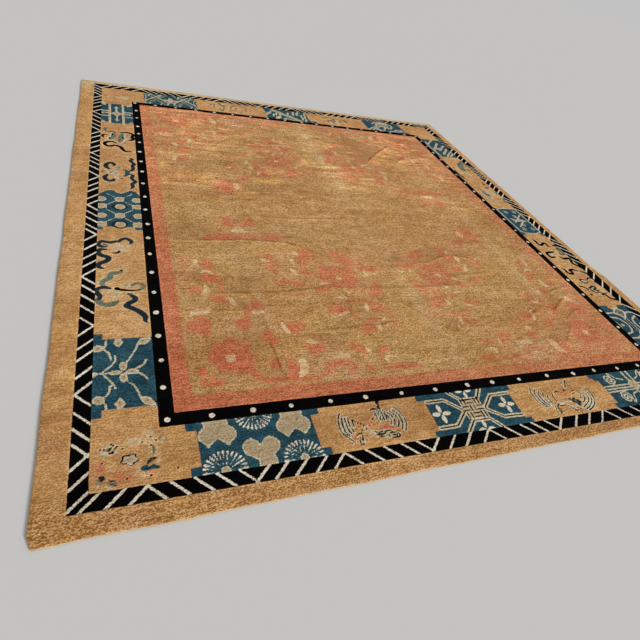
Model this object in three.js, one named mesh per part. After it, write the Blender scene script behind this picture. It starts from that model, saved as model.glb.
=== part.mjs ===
// A room-size hand-knotted wool rug in the Chinese taste, lying flat.
// Foundation and pile are one sheet. It rests on z = 0 and lifts a little along old storage folds.
// Millimetres, +X to the right, +Y to the far edge, +Z up, origin under the middle of the rug.

import * as THREE from "three";

// Driving dimensions
const RUG_WIDTH = 3355;
const RUG_LENGTH = 3810;
const RUG_THICKNESS = 11;

// The sheet is divided into even steps of about 90 mm, and one at every bend of its edges.
// An even step nearer to a bend than this share of a step is left out.
const COLUMNS = 38;
const ROWS = 42;
const STEP_CLEARANCE = 0.4;

// The four edges: how far each lies inside the nominal rectangle, at a fraction of its length.
// The near left corner is worn off, and the right edge steps out where it was bound again.
const LEFT_EDGE = [
  { at: 0, inset: 26 },
  { at: 0.015, inset: 0 },
  { at: 1, inset: 0 },
];
const RIGHT_EDGE = [
  { at: 0, inset: 19 },
  { at: 0.3, inset: 8 },
  { at: 0.308, inset: 26 },
  { at: 0.65, inset: 15 },
  { at: 1, inset: 0 },
];
const NEAR_EDGE = [
  { at: 0, inset: 0 },
  { at: 0.35, inset: 12 },
  { at: 0.68, inset: 24 },
  { at: 1, inset: 35 },
];
const FAR_EDGE = [
  { at: 0, inset: 3 },
  { at: 0.23, inset: 0 },
  { at: 0.38, inset: 7 },
  { at: 0.5, inset: 2 },
  { at: 0.62, inset: 7 },
  { at: 0.77, inset: 2 },
  { at: 0.88, inset: 6 },
  { at: 1, inset: 0 },
];

// Soft folds left by storage: each runs from (x1, y1) to (x2, y2),
// rises to height at its middle line and dies out at reach to either side and past its ends.
const FOLDS = [
  { x1: 97, y1: -624, x2: 370, y2: -547, height: 10, reach: 130 },
  { x1: 370, y1: -547, x2: 597, y2: -553, height: 11, reach: 130 },
  { x1: 597, y1: -553, x2: 667, y2: -609, height: 8, reach: 120 },
  { x1: 440, y1: 768, x2: 772, y2: 1126, height: 10, reach: 130 },
  { x1: 710, y1: 802, x2: 834, y2: 916, height: 6, reach: 110 },
  { x1: -804, y1: -425, x2: -497, y2: -425, height: 7, reach: 120 },
  { x1: -1267, y1: -945, x2: -812, y2: -984, height: 7, reach: 120 },
  { x1: -812, y1: -1015, x2: -812, y2: -1408, height: 9, reach: 120 },
  { x1: -366, y1: -1146, x2: -78, y2: -1098, height: 6, reach: 110 },
  { x1: -508, y1: -840, x2: 2, y2: -840, height: 4, reach: 110 },
  { x1: 772, y1: -1067, x2: 1112, y2: -945, height: 9, reach: 130 },
  { x1: 790, y1: -1312, x2: 1042, y2: -1137, height: 6, reach: 110 },
  { x1: -839, y1: 1441, x2: -839, y2: 1269, height: 5, reach: 110 },
];

const LEFT_X = -RUG_WIDTH / 2;
const RIGHT_X = RUG_WIDTH / 2;
const NEAR_Y = -RUG_LENGTH / 2;
const FAR_Y = RUG_LENGTH / 2;

// Reads an edge table between its rows
function insetAt(edge, at) {
  const after = Math.max(1, edge.findIndex((row) => row.at >= at));
  const low = edge[after - 1];
  const high = edge[after];
  const share = (at - low.at) / (high.at - low.at);
  return THREE.MathUtils.lerp(low.inset, high.inset, share);
}

// Steps from 0 to 1 along two facing edges
function stepsAlong(count, edges) {
  const bends = [...new Set(edges.flat().map((row) => row.at))];
  const evenSteps = Array.from({ length: count + 1 }, (_, index) => index / count);
  const isClear = (step) => bends.every((at) => Math.abs(step - at) > STEP_CLEARANCE / count);
  return [...bends, ...evenSteps.filter(isClear)].sort((low, high) => low - high);
}

// How far a fold lifts the sheet over one point of the floor
function foldLift(fold, x, y) {
  const run = new THREE.Vector2(fold.x2 - fold.x1, fold.y2 - fold.y1);
  const point = new THREE.Vector2(x - fold.x1, y - fold.y1);
  const along = THREE.MathUtils.clamp(point.dot(run) / run.lengthSq(), 0, 1);
  const distance = point.distanceTo(run.multiplyScalar(along));
  if (distance >= fold.reach) return 0;
  return fold.height * Math.cos((Math.PI / 2) * (distance / fold.reach)) ** 2;
}

function liftAt(x, y) {
  return Math.max(...FOLDS.map((fold) => foldLift(fold, x, y)));
}

// One closed sheet: a lower and an upper skin on the same grid, joined by a rim
function rugGeometry() {
  const acrossSteps = stepsAlong(COLUMNS, [NEAR_EDGE, FAR_EDGE]);
  const alongSteps = stepsAlong(ROWS, [LEFT_EDGE, RIGHT_EDGE]);
  const positions = [];
  for (const height of [0, RUG_THICKNESS]) {
    for (const along of alongSteps) {
      for (const across of acrossSteps) {
        const leftX = LEFT_X + insetAt(LEFT_EDGE, along);
        const rightX = RIGHT_X - insetAt(RIGHT_EDGE, along);
        const nearY = NEAR_Y + insetAt(NEAR_EDGE, across);
        const farY = FAR_Y - insetAt(FAR_EDGE, across);
        const x = THREE.MathUtils.lerp(leftX, rightX, across);
        const y = THREE.MathUtils.lerp(nearY, farY, along);
        positions.push(x, y, liftAt(x, y) + height);
      }
    }
  }

  const lastColumn = acrossSteps.length - 1;
  const lastRow = alongSteps.length - 1;
  const lower = (column, row) => row * acrossSteps.length + column;
  const upper = (column, row) => acrossSteps.length * alongSteps.length + lower(column, row);
  const faces = [];
  const addQuad = (a, b, c, d) => faces.push(a, b, c, a, c, d);
  for (let row = 0; row < lastRow; row += 1) {
    for (let column = 0; column < lastColumn; column += 1) {
      addQuad(
        upper(column, row),
        upper(column + 1, row),
        upper(column + 1, row + 1),
        upper(column, row + 1),
      );
      addQuad(
        lower(column, row),
        lower(column, row + 1),
        lower(column + 1, row + 1),
        lower(column + 1, row),
      );
    }
  }

  // The rim runs once round the sheet, counter-clockwise seen from above
  const round = [];
  for (let column = 0; column < lastColumn; column += 1) round.push([column, 0]);
  for (let row = 0; row < lastRow; row += 1) round.push([lastColumn, row]);
  for (let column = lastColumn; column > 0; column -= 1) round.push([column, lastRow]);
  for (let row = lastRow; row > 0; row -= 1) round.push([0, row]);
  round.forEach((here, index) => {
    const next = round[(index + 1) % round.length];
    addQuad(lower(...here), lower(...next), upper(...next), upper(...here));
  });

  const geometry = new THREE.BufferGeometry();
  geometry.setAttribute("position", new THREE.Float32BufferAttribute(positions, 3));
  geometry.setIndex(faces);
  geometry.computeVertexNormals();
  return geometry;
}

const woolPile = new THREE.MeshStandardMaterial({ color: 0xb8905c, roughness: 0.95, metalness: 0 });
const rug = new THREE.Mesh(rugGeometry(), woolPile);
rug.name = "rug";

const rugGroup = new THREE.Group();
rugGroup.add(rug);

export default rugGroup;
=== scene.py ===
import bpy
import numpy as np

from mathutils import Matrix, Vector


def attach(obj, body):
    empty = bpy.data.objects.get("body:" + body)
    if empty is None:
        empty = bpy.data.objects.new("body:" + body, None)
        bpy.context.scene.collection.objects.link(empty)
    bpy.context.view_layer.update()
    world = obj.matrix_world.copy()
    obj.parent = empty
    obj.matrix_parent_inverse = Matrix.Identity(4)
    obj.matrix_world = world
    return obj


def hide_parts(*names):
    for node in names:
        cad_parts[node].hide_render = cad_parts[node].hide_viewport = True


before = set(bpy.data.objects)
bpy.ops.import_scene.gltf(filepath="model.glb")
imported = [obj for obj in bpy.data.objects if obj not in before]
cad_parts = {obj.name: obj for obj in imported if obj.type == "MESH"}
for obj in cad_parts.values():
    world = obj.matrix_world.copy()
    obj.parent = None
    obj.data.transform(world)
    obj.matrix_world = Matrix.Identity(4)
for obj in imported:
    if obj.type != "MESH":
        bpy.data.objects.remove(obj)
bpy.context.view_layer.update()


# The rug: one hand-knotted cloth, wool pile on a cotton foundation, woven in one piece and laid
# flat. It is drawn on a fine even lattice first, and the mesh later keeps only the lattice points
# that its outline, its folds and its pattern need. The lattice is in millimetres.
RUG_WIDTH = 3355
RUG_LENGTH = 3810
RUG_THICKNESS = 11
LATTICE_COLUMNS = 608
LATTICE_ROWS = 688

# How far each edge lies inside the nominal rectangle (mm), at a fraction of its length
LEFT_EDGE = ((0, 14), (0.009, 0), (1, 0))
RIGHT_EDGE = ((0, 19), (0.3, 8), (0.308, 26), (0.65, 15), (1, 0))
NEAR_EDGE = ((0, 0), (0.35, 12), (0.68, 24), (1, 35))
FAR_EDGE = ((0, 3), (0.23, 0), (0.38, 7), (0.5, 2), (0.62, 7), (0.77, 2), (0.88, 6), (1, 0))
# An edge's inset is taken up by the outermost strip of this width (mm). The lattice stops this
# far inside the outline, where the pile turns down to the edge.
EDGE_STRIP = 130
EDGE_ROUNDING = 5
# Its hand-made wavering keeps inside the outline by about this much (mm)
WAVER_ROOM = 1.2


def lattice_points():
    """Where each lattice point lies on the floor, as two arrays of rows and columns."""
    flat_x = np.linspace(-RUG_WIDTH / 2, RUG_WIDTH / 2, LATTICE_COLUMNS + 1)
    flat_y = np.linspace(-RUG_LENGTH / 2, RUG_LENGTH / 2, LATTICE_ROWS + 1)
    across, along = np.meshgrid(flat_x / RUG_WIDTH + 0.5, flat_y / RUG_LENGTH + 0.5)
    x, y = np.meshgrid(flat_x, flat_y)

    def taken_in(edge, place, distance):
        waver = 1.1 * np.sin(37 * place) + 0.8 * np.sin(61 * place + len(edge))
        inset = np.interp(place, *zip(*edge)) + EDGE_ROUNDING + WAVER_ROOM + waver
        return inset * np.clip(1 - distance / EDGE_STRIP, 0, 1)

    moved_x = x + taken_in(LEFT_EDGE, along, across * RUG_WIDTH)
    moved_x -= taken_in(RIGHT_EDGE, along, (1 - across) * RUG_WIDTH)
    moved_y = y + taken_in(NEAR_EDGE, across, along * RUG_LENGTH)
    moved_y -= taken_in(FAR_EDGE, across, (1 - along) * RUG_LENGTH)
    return moved_x, moved_y


lattice_x, lattice_y = lattice_points()


# The pattern lies in the pile's colours. Each colour is kept as a signed distance (mm) at every
# lattice point: above 0 inside its shapes and below 0 outside, in the order in which they are
# painted over the tan ground. A drawn shape widens its colour's distance where it lies nearer.
FAR_OFF = 100.0
COLOURS = (
    "coral", "rose", "blue", "grey_green", "navy", "cream", "brown", "dark", "ivory", "straw",
)
distances = {colour: np.full(lattice_x.shape, -FAR_OFF) for colour in COLOURS}
# Soft patches with no edge of their own: coral dye that has spread, and wool that has paled
tints = {"blush": np.zeros(lattice_x.shape), "pale": np.zeros(lattice_x.shape)}
hand = np.random.default_rng(4)
# A disc of a smaller radius (mm) than this is moved to the nearest lattice point
SMALL_DISC = 4


def window(low_x, low_y, high_x, high_y, margin=60):
    """The part of the lattice round a shape."""
    part = []
    for low, high, size, steps in (
        (low_y, high_y, RUG_LENGTH, LATTICE_ROWS),
        (low_x, high_x, RUG_WIDTH, LATTICE_COLUMNS),
    ):
        steps_per_mm = steps / size
        first = int((low - margin + size / 2) * steps_per_mm)
        last = int((high + margin + size / 2) * steps_per_mm) + 2
        part.append(slice(max(first, 0), max(last, 1)))
    return tuple(part)


def lay(colour, part, inside, cut=False):
    """Adds a shape to its colour, or cuts it out of the colour."""
    target = distances[colour][part]
    if cut:
        np.minimum(target, -inside, out=target)
    else:
        np.maximum(target, inside, out=target)


def inside_block(x, y, low_x, low_y, high_x, high_y):
    """How far points lie inside a rectangle with its sides along the weave."""
    inside_x = np.minimum(x - low_x, high_x - x)
    inside_y = np.minimum(y - low_y, high_y - y)
    return np.minimum(inside_x, inside_y)


def block(colour, *edges, margin=60):
    """A rectangle, given by its low x and y and its high x and y."""
    part = window(*edges, margin)
    lay(colour, part, inside_block(lattice_x[part], lattice_y[part], *edges))


def band(colour, *edges):
    """A rectangle whose distance is kept over the whole rug."""
    block(colour, *edges, margin=RUG_LENGTH)


def disc(colour, x, y, radius, cut=False):
    """A round spot, or with cut, one taken out of the colour."""
    if radius < SMALL_DISC:
        x = (round((x / RUG_WIDTH + 0.5) * LATTICE_COLUMNS) / LATTICE_COLUMNS - 0.5) * RUG_WIDTH
        y = (round((y / RUG_LENGTH + 0.5) * LATTICE_ROWS) / LATTICE_ROWS - 0.5) * RUG_LENGTH
    part = window(x - radius, y - radius, x + radius, y + radius)
    lay(colour, part, radius - np.hypot(lattice_x[part] - x, lattice_y[part] - y), cut)


def from_segment(x, y, start, end):
    """How far points lie from a straight segment, and beside which share of its length."""
    run_x, run_y = end[0] - start[0], end[1] - start[1]
    share = (x - start[0]) * run_x + (y - start[1]) * run_y
    share = np.clip(share / max(run_x**2 + run_y**2, 1e-9), 0, 1)
    return np.hypot(x - start[0] - share * run_x, y - start[1] - share * run_y), share


def polygon(colour, points):
    """A closed shape with straight sides."""
    corners = np.array(points, float)
    part = window(*corners.min(0), *corners.max(0))
    x, y = lattice_x[part], lattice_y[part]
    nearest = np.full(x.shape, FAR_OFF)
    inside = np.zeros(x.shape, bool)
    for start, end in zip(corners, np.roll(corners, -1, axis=0)):
        nearest = np.minimum(nearest, from_segment(x, y, start, end)[0])
        run_x, run_y = end - start
        if run_y:
            crosses = (start[1] > y) != (end[1] > y)
            inside ^= crosses & (x < start[0] + (y - start[1]) * run_x / run_y)
    lay(colour, part, np.where(inside, nearest, -nearest))


# A brush line's width at even steps along it, as a share of its full width
LINE = (1, 1)
LEAF = (0.1, 0.62, 0.92, 1, 0.92, 0.62, 0.1)
CLUB = (0.3, 0.5, 0.8, 1)
TAIL = (1, 0.95, 0.75, 0.5, 0.15)
RIBBON = (0.45, 0.85, 1, 0.9, 1, 0.95, 1, 0.85, 0.35)
CRESCENT = (0.15, 0.6, 0.9, 1, 0.9, 0.6, 0.15)


def smooth_path(points, spacing=7):
    """A curve through the points, as points about spacing apart."""
    ends = np.array([points[0], *points, points[-1]], float)
    path = [ends[1]]
    for before, start, end, after in zip(ends, ends[1:], ends[2:], ends[3:]):
        steps = max(1, int(np.hypot(*(end - start)) / spacing))
        bend = 2 * before - 5 * start + 4 * end - after
        twist = 3 * start - before - 3 * end + after
        for share in np.arange(1, steps + 1) / steps:
            path.append(start + ((end - before) * share + bend * share**2 + twist * share**3) / 2)
    return np.array(path)


def stroke(colour, points, width, shares=LINE, curved=True):
    """A brush line through the points."""
    path = smooth_path(points) if curved else np.array(points, float)
    part = window(*path.min(0), *path.max(0), margin=width / 2 + 25)
    x, y = lattice_x[part], lattice_y[part]
    places = np.concatenate([[0], np.cumsum(np.hypot(*np.diff(path, axis=0).T))])
    halves = width / 2 * np.interp(places / places[-1], np.linspace(0, 1, len(shares)), shares)
    signed = np.full(x.shape, -FAR_OFF)
    for start, end, half, next_half in zip(path, path[1:], halves, halves[1:]):
        gap, share = from_segment(x, y, start, end)
        np.maximum(signed, half + (next_half - half) * share - gap, out=signed)
    lay(colour, part, signed)


def tint(kind, x, y, radius, amount):
    """A soft patch, strongest at its middle."""
    part = window(x - radius, y - radius, x + radius, y + radius)
    near = np.clip(1 - np.hypot(lattice_x[part] - x, lattice_y[part] - y) / radius, 0, 1)
    target = tints[kind][part]
    np.maximum(target, amount * near**0.7, out=target)


def draw_motif(x, y, rows, flip=1, turn=1):
    """A charted motif, in mm from its middle.

    A row is a colour, a brush and its shapes. A disc is its middle and radius, a spot of tint its
    middle, radius and amount, a polygon its corners, and a brush line its width and points.
    The colour "lined" is cream with a dark core half as wide.
    """

    def placed(points):
        return [(x + flip * point_x, y + turn * point_y) for point_x, point_y in points]

    for colour, brush, *shapes in rows:
        for shape in shapes:
            if brush in ("disc", "spot"):
                point_x, point_y, *sizes = shape
                paint = disc if brush == "disc" else tint
                paint(colour, *placed([(point_x, point_y)])[0], *sizes)
            elif brush == "polygon":
                polygon(colour, placed(shape))
            elif colour == "lined":
                width, *points = shape
                stroke("cream", placed(points), width, brush)
                stroke("dark", placed(points), round(width / 2), brush)
            else:
                width, *points = shape
                stroke(colour, placed(points), width, brush)
                if brush is RIBBON:
                    for path_x, path_y in smooth_path(placed(points), spacing=22):
                        tint("pale", path_x, path_y, 1.5 * width, 0.6)


# The field: worn khaki-tan wool inside a coral band, with a flowering spray in each corner, a wreath
# of leafy stems round the middle and single flowers between. Its coral has faded, more so towards
# the right and far sides. Every motif is repeated in mirror image, as on most such rugs.
band("coral", -1262, -1515, -1187, 1120)
band("coral", -1262, -1515, 1274, -1440)
band("rose", -1262, 1080, -1192, 1483)
# Its right and far sides have bled: the coral there grows stronger towards the guard
BLED_RIGHT, BLED_FAR = 1272, 1481
BLED_FULL, BLED_DEPTH, BLED_STRENGTH = 25, 130, 0.85
FIELD_MIDDLE = (6, -16)
FIELD_HALF = (1285, 1515)
in_the_field = np.abs(lattice_x - FIELD_MIDDLE[0]) < FIELD_HALF[0]
in_the_field &= np.abs(lattice_y - FIELD_MIDDLE[1]) < FIELD_HALF[1]
for inside in (BLED_RIGHT - lattice_x, BLED_FAR - lattice_y):
    strength = np.clip(1 - (inside - BLED_FULL) / BLED_DEPTH, 0, 1)
    tints["blush"] = np.maximum(tints["blush"], BLED_STRENGTH * strength * in_the_field)

CORNER_SPRAY = (
    ("rose", "disc", (9, 19, 76.9), (74, -4, 33.2), (33, -48, 33.2), (-26, -43, 33.2), (-59, 6, 33.2),
     (-41, 62, 33.2), (14, 84, 33.2), (65, 54, 33.2), (-122, -59, 15.7), (-66, -124, 17.5),
     (-83, -94, 11.4), (176, -57, 24.5), (377, 16, 31.5), (319, 159, 36.7), (288, 140, 14),
     (581, 16, 29.7), (601, -118, 21), (-131, 201, 26.2), (89, 201, 33.2), (176, 320, 32.3),
     (19, 365, 33.2), (-86, 444, 29.7), (-7, 537, 40.2), (-12, 655, 33.2)),
    ("ivory", "polygon", ((-21, 12), (-5, 21), (19, 17), (21, -16), (2, -23), (-19, -16)),
     ((281, -35), (316, -26), (320, -70), (306, -114), (281, -131), (253, -140), (269, -105), (280, -70)),
     ((345, 74), (376, 84), (406, 57), (393, 50), (358, 57)),
     ((260, 203), (278, 188), (284, 157), (297, 122), (271, 124), (258, 157)),
     ((439, -31), (485, -14), (533, -26), (524, -49), (481, -44), (441, -52)),
     ((620, 13), (640, -13), (643, -35), (629, -40), (620, -13)),
     ((-140, 257), (-126, 297), (-79, 305), (-33, 298), (-51, 273), (-105, 269)),
     ((134, 281), (157, 273), (201, 278), (189, 254), (153, 253)),
     ((38, 386), (70, 383), (81, 341), (74, 316), (59, 328), (54, 363)),
     ((-44, 491), (-25, 463), (-18, 437), (-35, 406), (-67, 411), (-53, 446))),
    ("rose", LINE,
     (23, (70, -61), (92, -105), (122, -135), (183, -140), (271, -144), (358, -135), (402, -101)),
     (17, (-131, -52), (-114, -79), (-122, -114), (-88, -131), (-53, -114)),
     (12, (677, -52), (673, -96), (690, -122)), (16, (124, 328), (122, 271), (117, 210)),
     (16, (28, 529), (39, 489), (30, 446))),
    ("rose", LEAF, (47, (253, -35), (248, -79), (231, -135)), (49, (341, 39), (384, 22), (424, 26)),
     (12, (380, 118), (406, 87), (419, 61)), (47, (175, 140), (188, 100), (210, 57)),
     (30, (341, 184), (358, 179), (374, 173)), (44, (546, 26), (585, 9), (616, -26)),
     (33, (673, -28), (712, -9), (743, 2)), (35, (664, -124), (751, -118), (861, -138)),
     (77, (-92, 255), (-92, 210), (-79, 153)), (31, (52, 220), (87, 201), (98, 149)),
     (26, (-25, 411), (0, 385), (17, 354)), (26, (-31, 690), (-13, 655), (9, 612))),
    ("rose", RIBBON, (40, (384, -122), (419, -87), (463, -72), (507, -87), (511, -118), (485, -135))),
    ("ivory", TAIL, (16, (699, -86), (699, -59), (725, -58), (765, -68))),
    ("ivory", CRESCENT, (21, (-53, 575), (-18, 591), (19, 565))),
    ("ivory", LEAF, (23, (-57, 697), (-66, 664), (-50, 624))),
    ("blush", "spot", (-122, 699, 61, 0.5), (-118, 620, 61, 0.45), (-122, 542, 52, 0.45),
     (-122, 472, 61, 0.4), (113, -26, 105, 0.35), (446, -122, 192, 0.4), (-96, 131, 96, 0.4)),
)

WREATH_BLOSSOM = (
    ("ivory", CRESCENT, (17, (-402, 165), (-374, 162), (-350, 145))),
    ("rose", "disc", (-348, 192, 24.5), (-134, 242, 31.5), (-171, 64, 32.3), (-236, -46, 22.7),
     (11, 3, 73.4), (-51, 58, 47.2), (12, 71, 40.2), (67, 52, 43.7), (94, -7, 35), (45, -62, 36.7),
     (-38, -47, 38.5), (-86, 10, 26.2), (47, 215, 33.2), (238, 89, 24.5), (115, -224, 40.2)),
    ("rose", LEAF, (37, (-370, 137), (-352, 89), (-322, 64)), (77, (-116, 255), (-145, 194), (-171, 119)),
     (21, (-156, 63), (-138, 41)), (30, (-365, -14), (-295, -25), (-234, -51), (-208, -51)),
     (40, (-160, -102), (-121, -97), (-79, -76)), (61, (63, 220), (85, 146), (124, 106)),
     (40, (137, 89), (194, 76), (273, 106)), (54, (220, -29), (178, -112), (155, -169)),
     (54, (-142, -239), (-90, -250), (-40, -236)), (35, (115, -252), (150, -256), (185, -248)),
     (44, (18, -359), (63, -335), (105, -322)), (47, (-29, -414), (28, -401), (59, -390))),
    ("ivory", LEAF, (21, (-199, 252), (-183, 224), (-176, 196)),
     (26, (-215, 174), (-225, 148), (-220, 118)), (24, (-250, 91), (-239, 58), (-220, 30)),
     (17, (172, 61), (174, 36), (187, 16)), (16, (212, 35), (251, 31)),
     (16, (-16, -99), (2, -112), (19, -134)), (23, (78, -206), (69, -239), (65, -274)),
     (14, (114, -350), (138, -324)), (16, (66, -372), (73, -396), (80, -421))),
    ("ivory", TAIL, (19, (-88, -43), (-121, -51), (-157, -65)),
     (17, (-16, -169), (-51, -158), (-94, -166)), (21, (-48, -270), (-86, -287), (-119, -298))),
    ("ivory", "disc", (-1, 0, 18.4)),
    ("blush", "spot", (111, -112, 105, 0.7), (124, 159, 131, 0.6), (-51, 115, 105, 0.5),
     (-138, 159, 105, 0.5), (168, -322, 122, 0.35), (238, 220, 122, 0.35), (-313, 150, 96, 0.3)),
    ("rose", LINE, (14, (-16, -191), (37, -182), (80, -191)), (10, (-42, -274), (-16, -313), (4, -366))),
    ("ivory", LINE, (7, (54, -374), (89, -364))),
)

FANNED_FLOWER = (
    ("ivory", "polygon",
     ((1, 44), (17, 22), (23, -5), (13, -41), (-3, -44), (-17, -18), (-20, 11), (-12, 32))),
    ("dark", "disc", (7, -55, 6.1)),
    ("dark", LEAF, (7, (2, -47), (9, -59))),
    ("rose", LEAF, (105, (-57, 74), (-57, -5), (-70, -83)), (30, (-101, 109), (-92, 65), (-57, 22)),
     (23, (-175, 4), (-127, -5), (-75, -13)), (23, (-162, -48), (-118, -40), (-75, -31)),
     (23, (-136, -109), (-101, -83), (-66, -57)), (56, (21, 39), (56, 100), (131, 157))),
    ("blush", "spot", (-57, -13, 131, 0.6), (-75, -101, 79, 0.4)),
    ("ivory", LEAF, (6, (-88, -184), (-57, -149), (-22, -114))),
)

HANGING_FLOWER = (
    ("ivory", "polygon", ((-6, 35), (-2, -26), (-16, -37), (-35, -22), (-55, -30), (-35, -4)),
     ((8, 35), (33, 9), (57, -32), (35, -26), (13, -37), (5, -22))),
    ("rose", LEAF, (52, (-53, 144), (-44, 92), (-27, 31)), (44, (-97, 79), (-62, 66), (-9, 53)),
     (49, (96, 140), (61, 83), (26, 39)), (38, (118, 74), (70, 57), (26, 48))),
    ("rose", "polygon", ((-201, -57), (-149, -44), (-140, -26), (-114, -44), (0, -48), (96, -39),
      (96, -105), (26, -113), (-53, -109), (-201, -105)),
     ((139, -35), (236, -44), (249, -74), (236, -113), (131, -118), (118, -87))),
    ("blush", "spot", (-27, 13, 131, 0.3)),
)

# Columns: motif, x, y, and -1 where it is mirrored from side to side (flip) or end to end (turn)
FIELD_MOTIFS = (
    (CORNER_SPRAY, -1013, -1268, 1, 1),
    (CORNER_SPRAY, 1006, -1270, -1, 1),
    (CORNER_SPRAY, -1009, 1227, 1, -1),
    (CORNER_SPRAY, 1008, 1238, -1, -1),
    (WREATH_BLOSSOM, -342, -745, 1, 1),
    (WREATH_BLOSSOM, 305, -728, -1, 1),
    (WREATH_BLOSSOM, -344, 654, 1, -1),
    (WREATH_BLOSSOM, 287, 659, -1, -1),
    (FANNED_FLOWER, -720, 227, 1, 1),
    (FANNED_FLOWER, 735, -280, -1, -1),
    (HANGING_FLOWER, -803, -293, 1, 1),
    (HANGING_FLOWER, 755, 231, -1, -1),
)
for motif, motif_x, motif_y, flip, turn in FIELD_MOTIFS:
    draw_motif(motif_x, motif_y, motif, flip, turn)

# Coral that has bled into the tan, mostly along the right and far sides.
# Columns: x, y, radius, amount.
BLEEDING = (
    (1120, -1290, 260, 0.95), (1150, -1060, 180, 0.75), (1180, -850, 150, 0.6), (1190, -600, 140, 0.5),
    (980, -1390, 220, 0.75), (740, -1420, 190, 0.65), (450, -1430, 150, 0.45), (880, -1150, 170, 0.45),
    (1190, -350, 120, 0.45), (1200, -100, 110, 0.45), (1190, 200, 130, 0.45), (1180, 480, 150, 0.5),
    (1150, 760, 180, 0.5), (1120, 1010, 200, 0.55), (1080, 1250, 230, 0.6), (860, 1370, 200, 0.55),
    (600, 1400, 170, 0.5), (330, 1400, 150, 0.45), (60, 1420, 130, 0.4), (-240, 1400, 160, 0.5),
    (-520, 1380, 190, 0.6), (-800, 1330, 210, 0.6), (-1060, 1290, 230, 0.7), (-1130, 1040, 180, 0.6),
    (-1080, 800, 140, 0.5), (-900, 1050, 160, 0.45), (-640, 1120, 150, 0.4), (420, 1080, 170, 0.35),
    (740, 1080, 200, 0.35), (380, 830, 180, 0.4), (180, 900, 160, 0.35), (-340, 840, 190, 0.5),
    (560, -400, 170, 0.35), (120, -520, 190, 0.3), (-1130, 560, 120, 0.3), (1100, -1450, 150, 0.5),
    (-80, -640, 160, 0.3), (-1000, 1000, 520, 0.32), (-1120, 300, 320, 0.28), (-560, 1300, 380, 0.3),
    (500, 1000, 420, 0.32), (900, 800, 420, 0.36), (1120, 380, 330, 0.4), (900, 1300, 420, 0.4),
    (-330, 330, 360, 0.26), (500, 350, 330, 0.22), (-500, -720, 330, 0.24), (330, -520, 280, 0.3),
    (900, -1200, 380, 0.4), (-900, -1200, 380, 0.25), (500, -1250, 280, 0.26), (-300, 0, 700, 0.14),
    (600, -60, 600, 0.16),
)
for bleeding in BLEEDING:
    tint("blush", *bleeding)


# The near border: blue panels with stepped corners, and tan grounds between them with loose motifs.
# A blue panel is a body across the whole border and a tab at each of its corners. The first ground,
# in the near left corner, has a blossom between two sprays.
BLOSSOM_X, BLOSSOM_Y = -1408, -1672
BLOSSOM_HALF_WIDTH, BLOSSOM_HALF_LENGTH = 26, 20
STREWN_RADIUS = 3.7
CORNER_SPRAYS = (
    ("pale", "spot", (-64, 44, 34, 0.81), (62, 88, 26, 1), (2, 62, 24, 0.94), (26, 66, 24, 1),
     (50, 66, 26, 1), (74, 62, 24, 1), (106, 62, 22, 0.74), (73, 32, 22, 1), (73, 12, 20, 1),
     (42, -58, 22, 0.81), (26, -36, 24, 0.68), (88, -16, 18, 0.54)),
    ("cream", LEAF, (12, (-92, 46), (-75, 33), (-58, 27)), (11, (-28, 48), (-40, 36), (-53, 28)),
     (9, (-80, 57), (-66, 63), (-56, 58)), (9, (-53, 60), (-44, 61), (-33, 55)),
     (9, (0, 60), (20, 70), (42, 64)), (8, (-104, -70), (-94, -76), (-82, -84)),
     (8, (-76, -78), (-62, -88), (-46, -92))),
    ("grey_green", LEAF, (12, (-78, 44), (-66, 48), (-54, 40)), (10, (-50, 42), (-42, 50), (-32, 48)),
     (8, (70, 46), (75, 28), (72, 4)), (9, (-100, -56), (-88, -60), (-76, -70)),
     (11, (-72, -70), (-53, -77), (-34, -77))),
    ("dark", LINE, (5, (-55, 33), (-42, 50)), (5, (47, -50), (48, -63))),
    ("navy", LINE, (6, (-63, 40), (-54, 53)), (6, (-61, -64), (-42, -69)), (6, (-57, -78), (-40, -84))),
    ("blush", "spot", (48, 50, 22, 0.45), (-86, -16, 30, 0.9), (-93, -30, 22, 0.8), (-33, -55, 34, 0.9),
     (4, -58, 26, 0.8), (63, -62, 18, 0.8)),
    ("cream", LINE, (5, (48, 84), (54, 98), (68, 99), (77, 88), (70, 76))),
    ("grey_green", LINE, (5, (92, 60), (100, 73), (114, 72), (119, 60), (108, 51))),
    ("blue", "polygon", ((32, -35), (36, -28), (53, -27), (56, -34), (73, -27), (80, -35), (97, -42),
      (83, -47), (64, -44), (55, -49), (39, -49), (31, -42))),
    ("navy", LEAF, (13, (48, -30), (63, -12), (86, -5)), (8, (38, -36), (52, -42), (68, -37))),
    ("brown", LEAF, (4, (54, -23), (65, -13), (78, -9))),
    ("coral", LEAF, (12, (-97, -26), (-86, -16), (-74, -36)), (11, (-46, -46), (-28, -58), (10, -63))),
    ("navy", "polygon", ((-91, -47), (-77, -43), (-70, -58), (-84, -63))),
)
draw_motif(BLOSSOM_X, BLOSSOM_Y, CORNER_SPRAYS)
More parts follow.
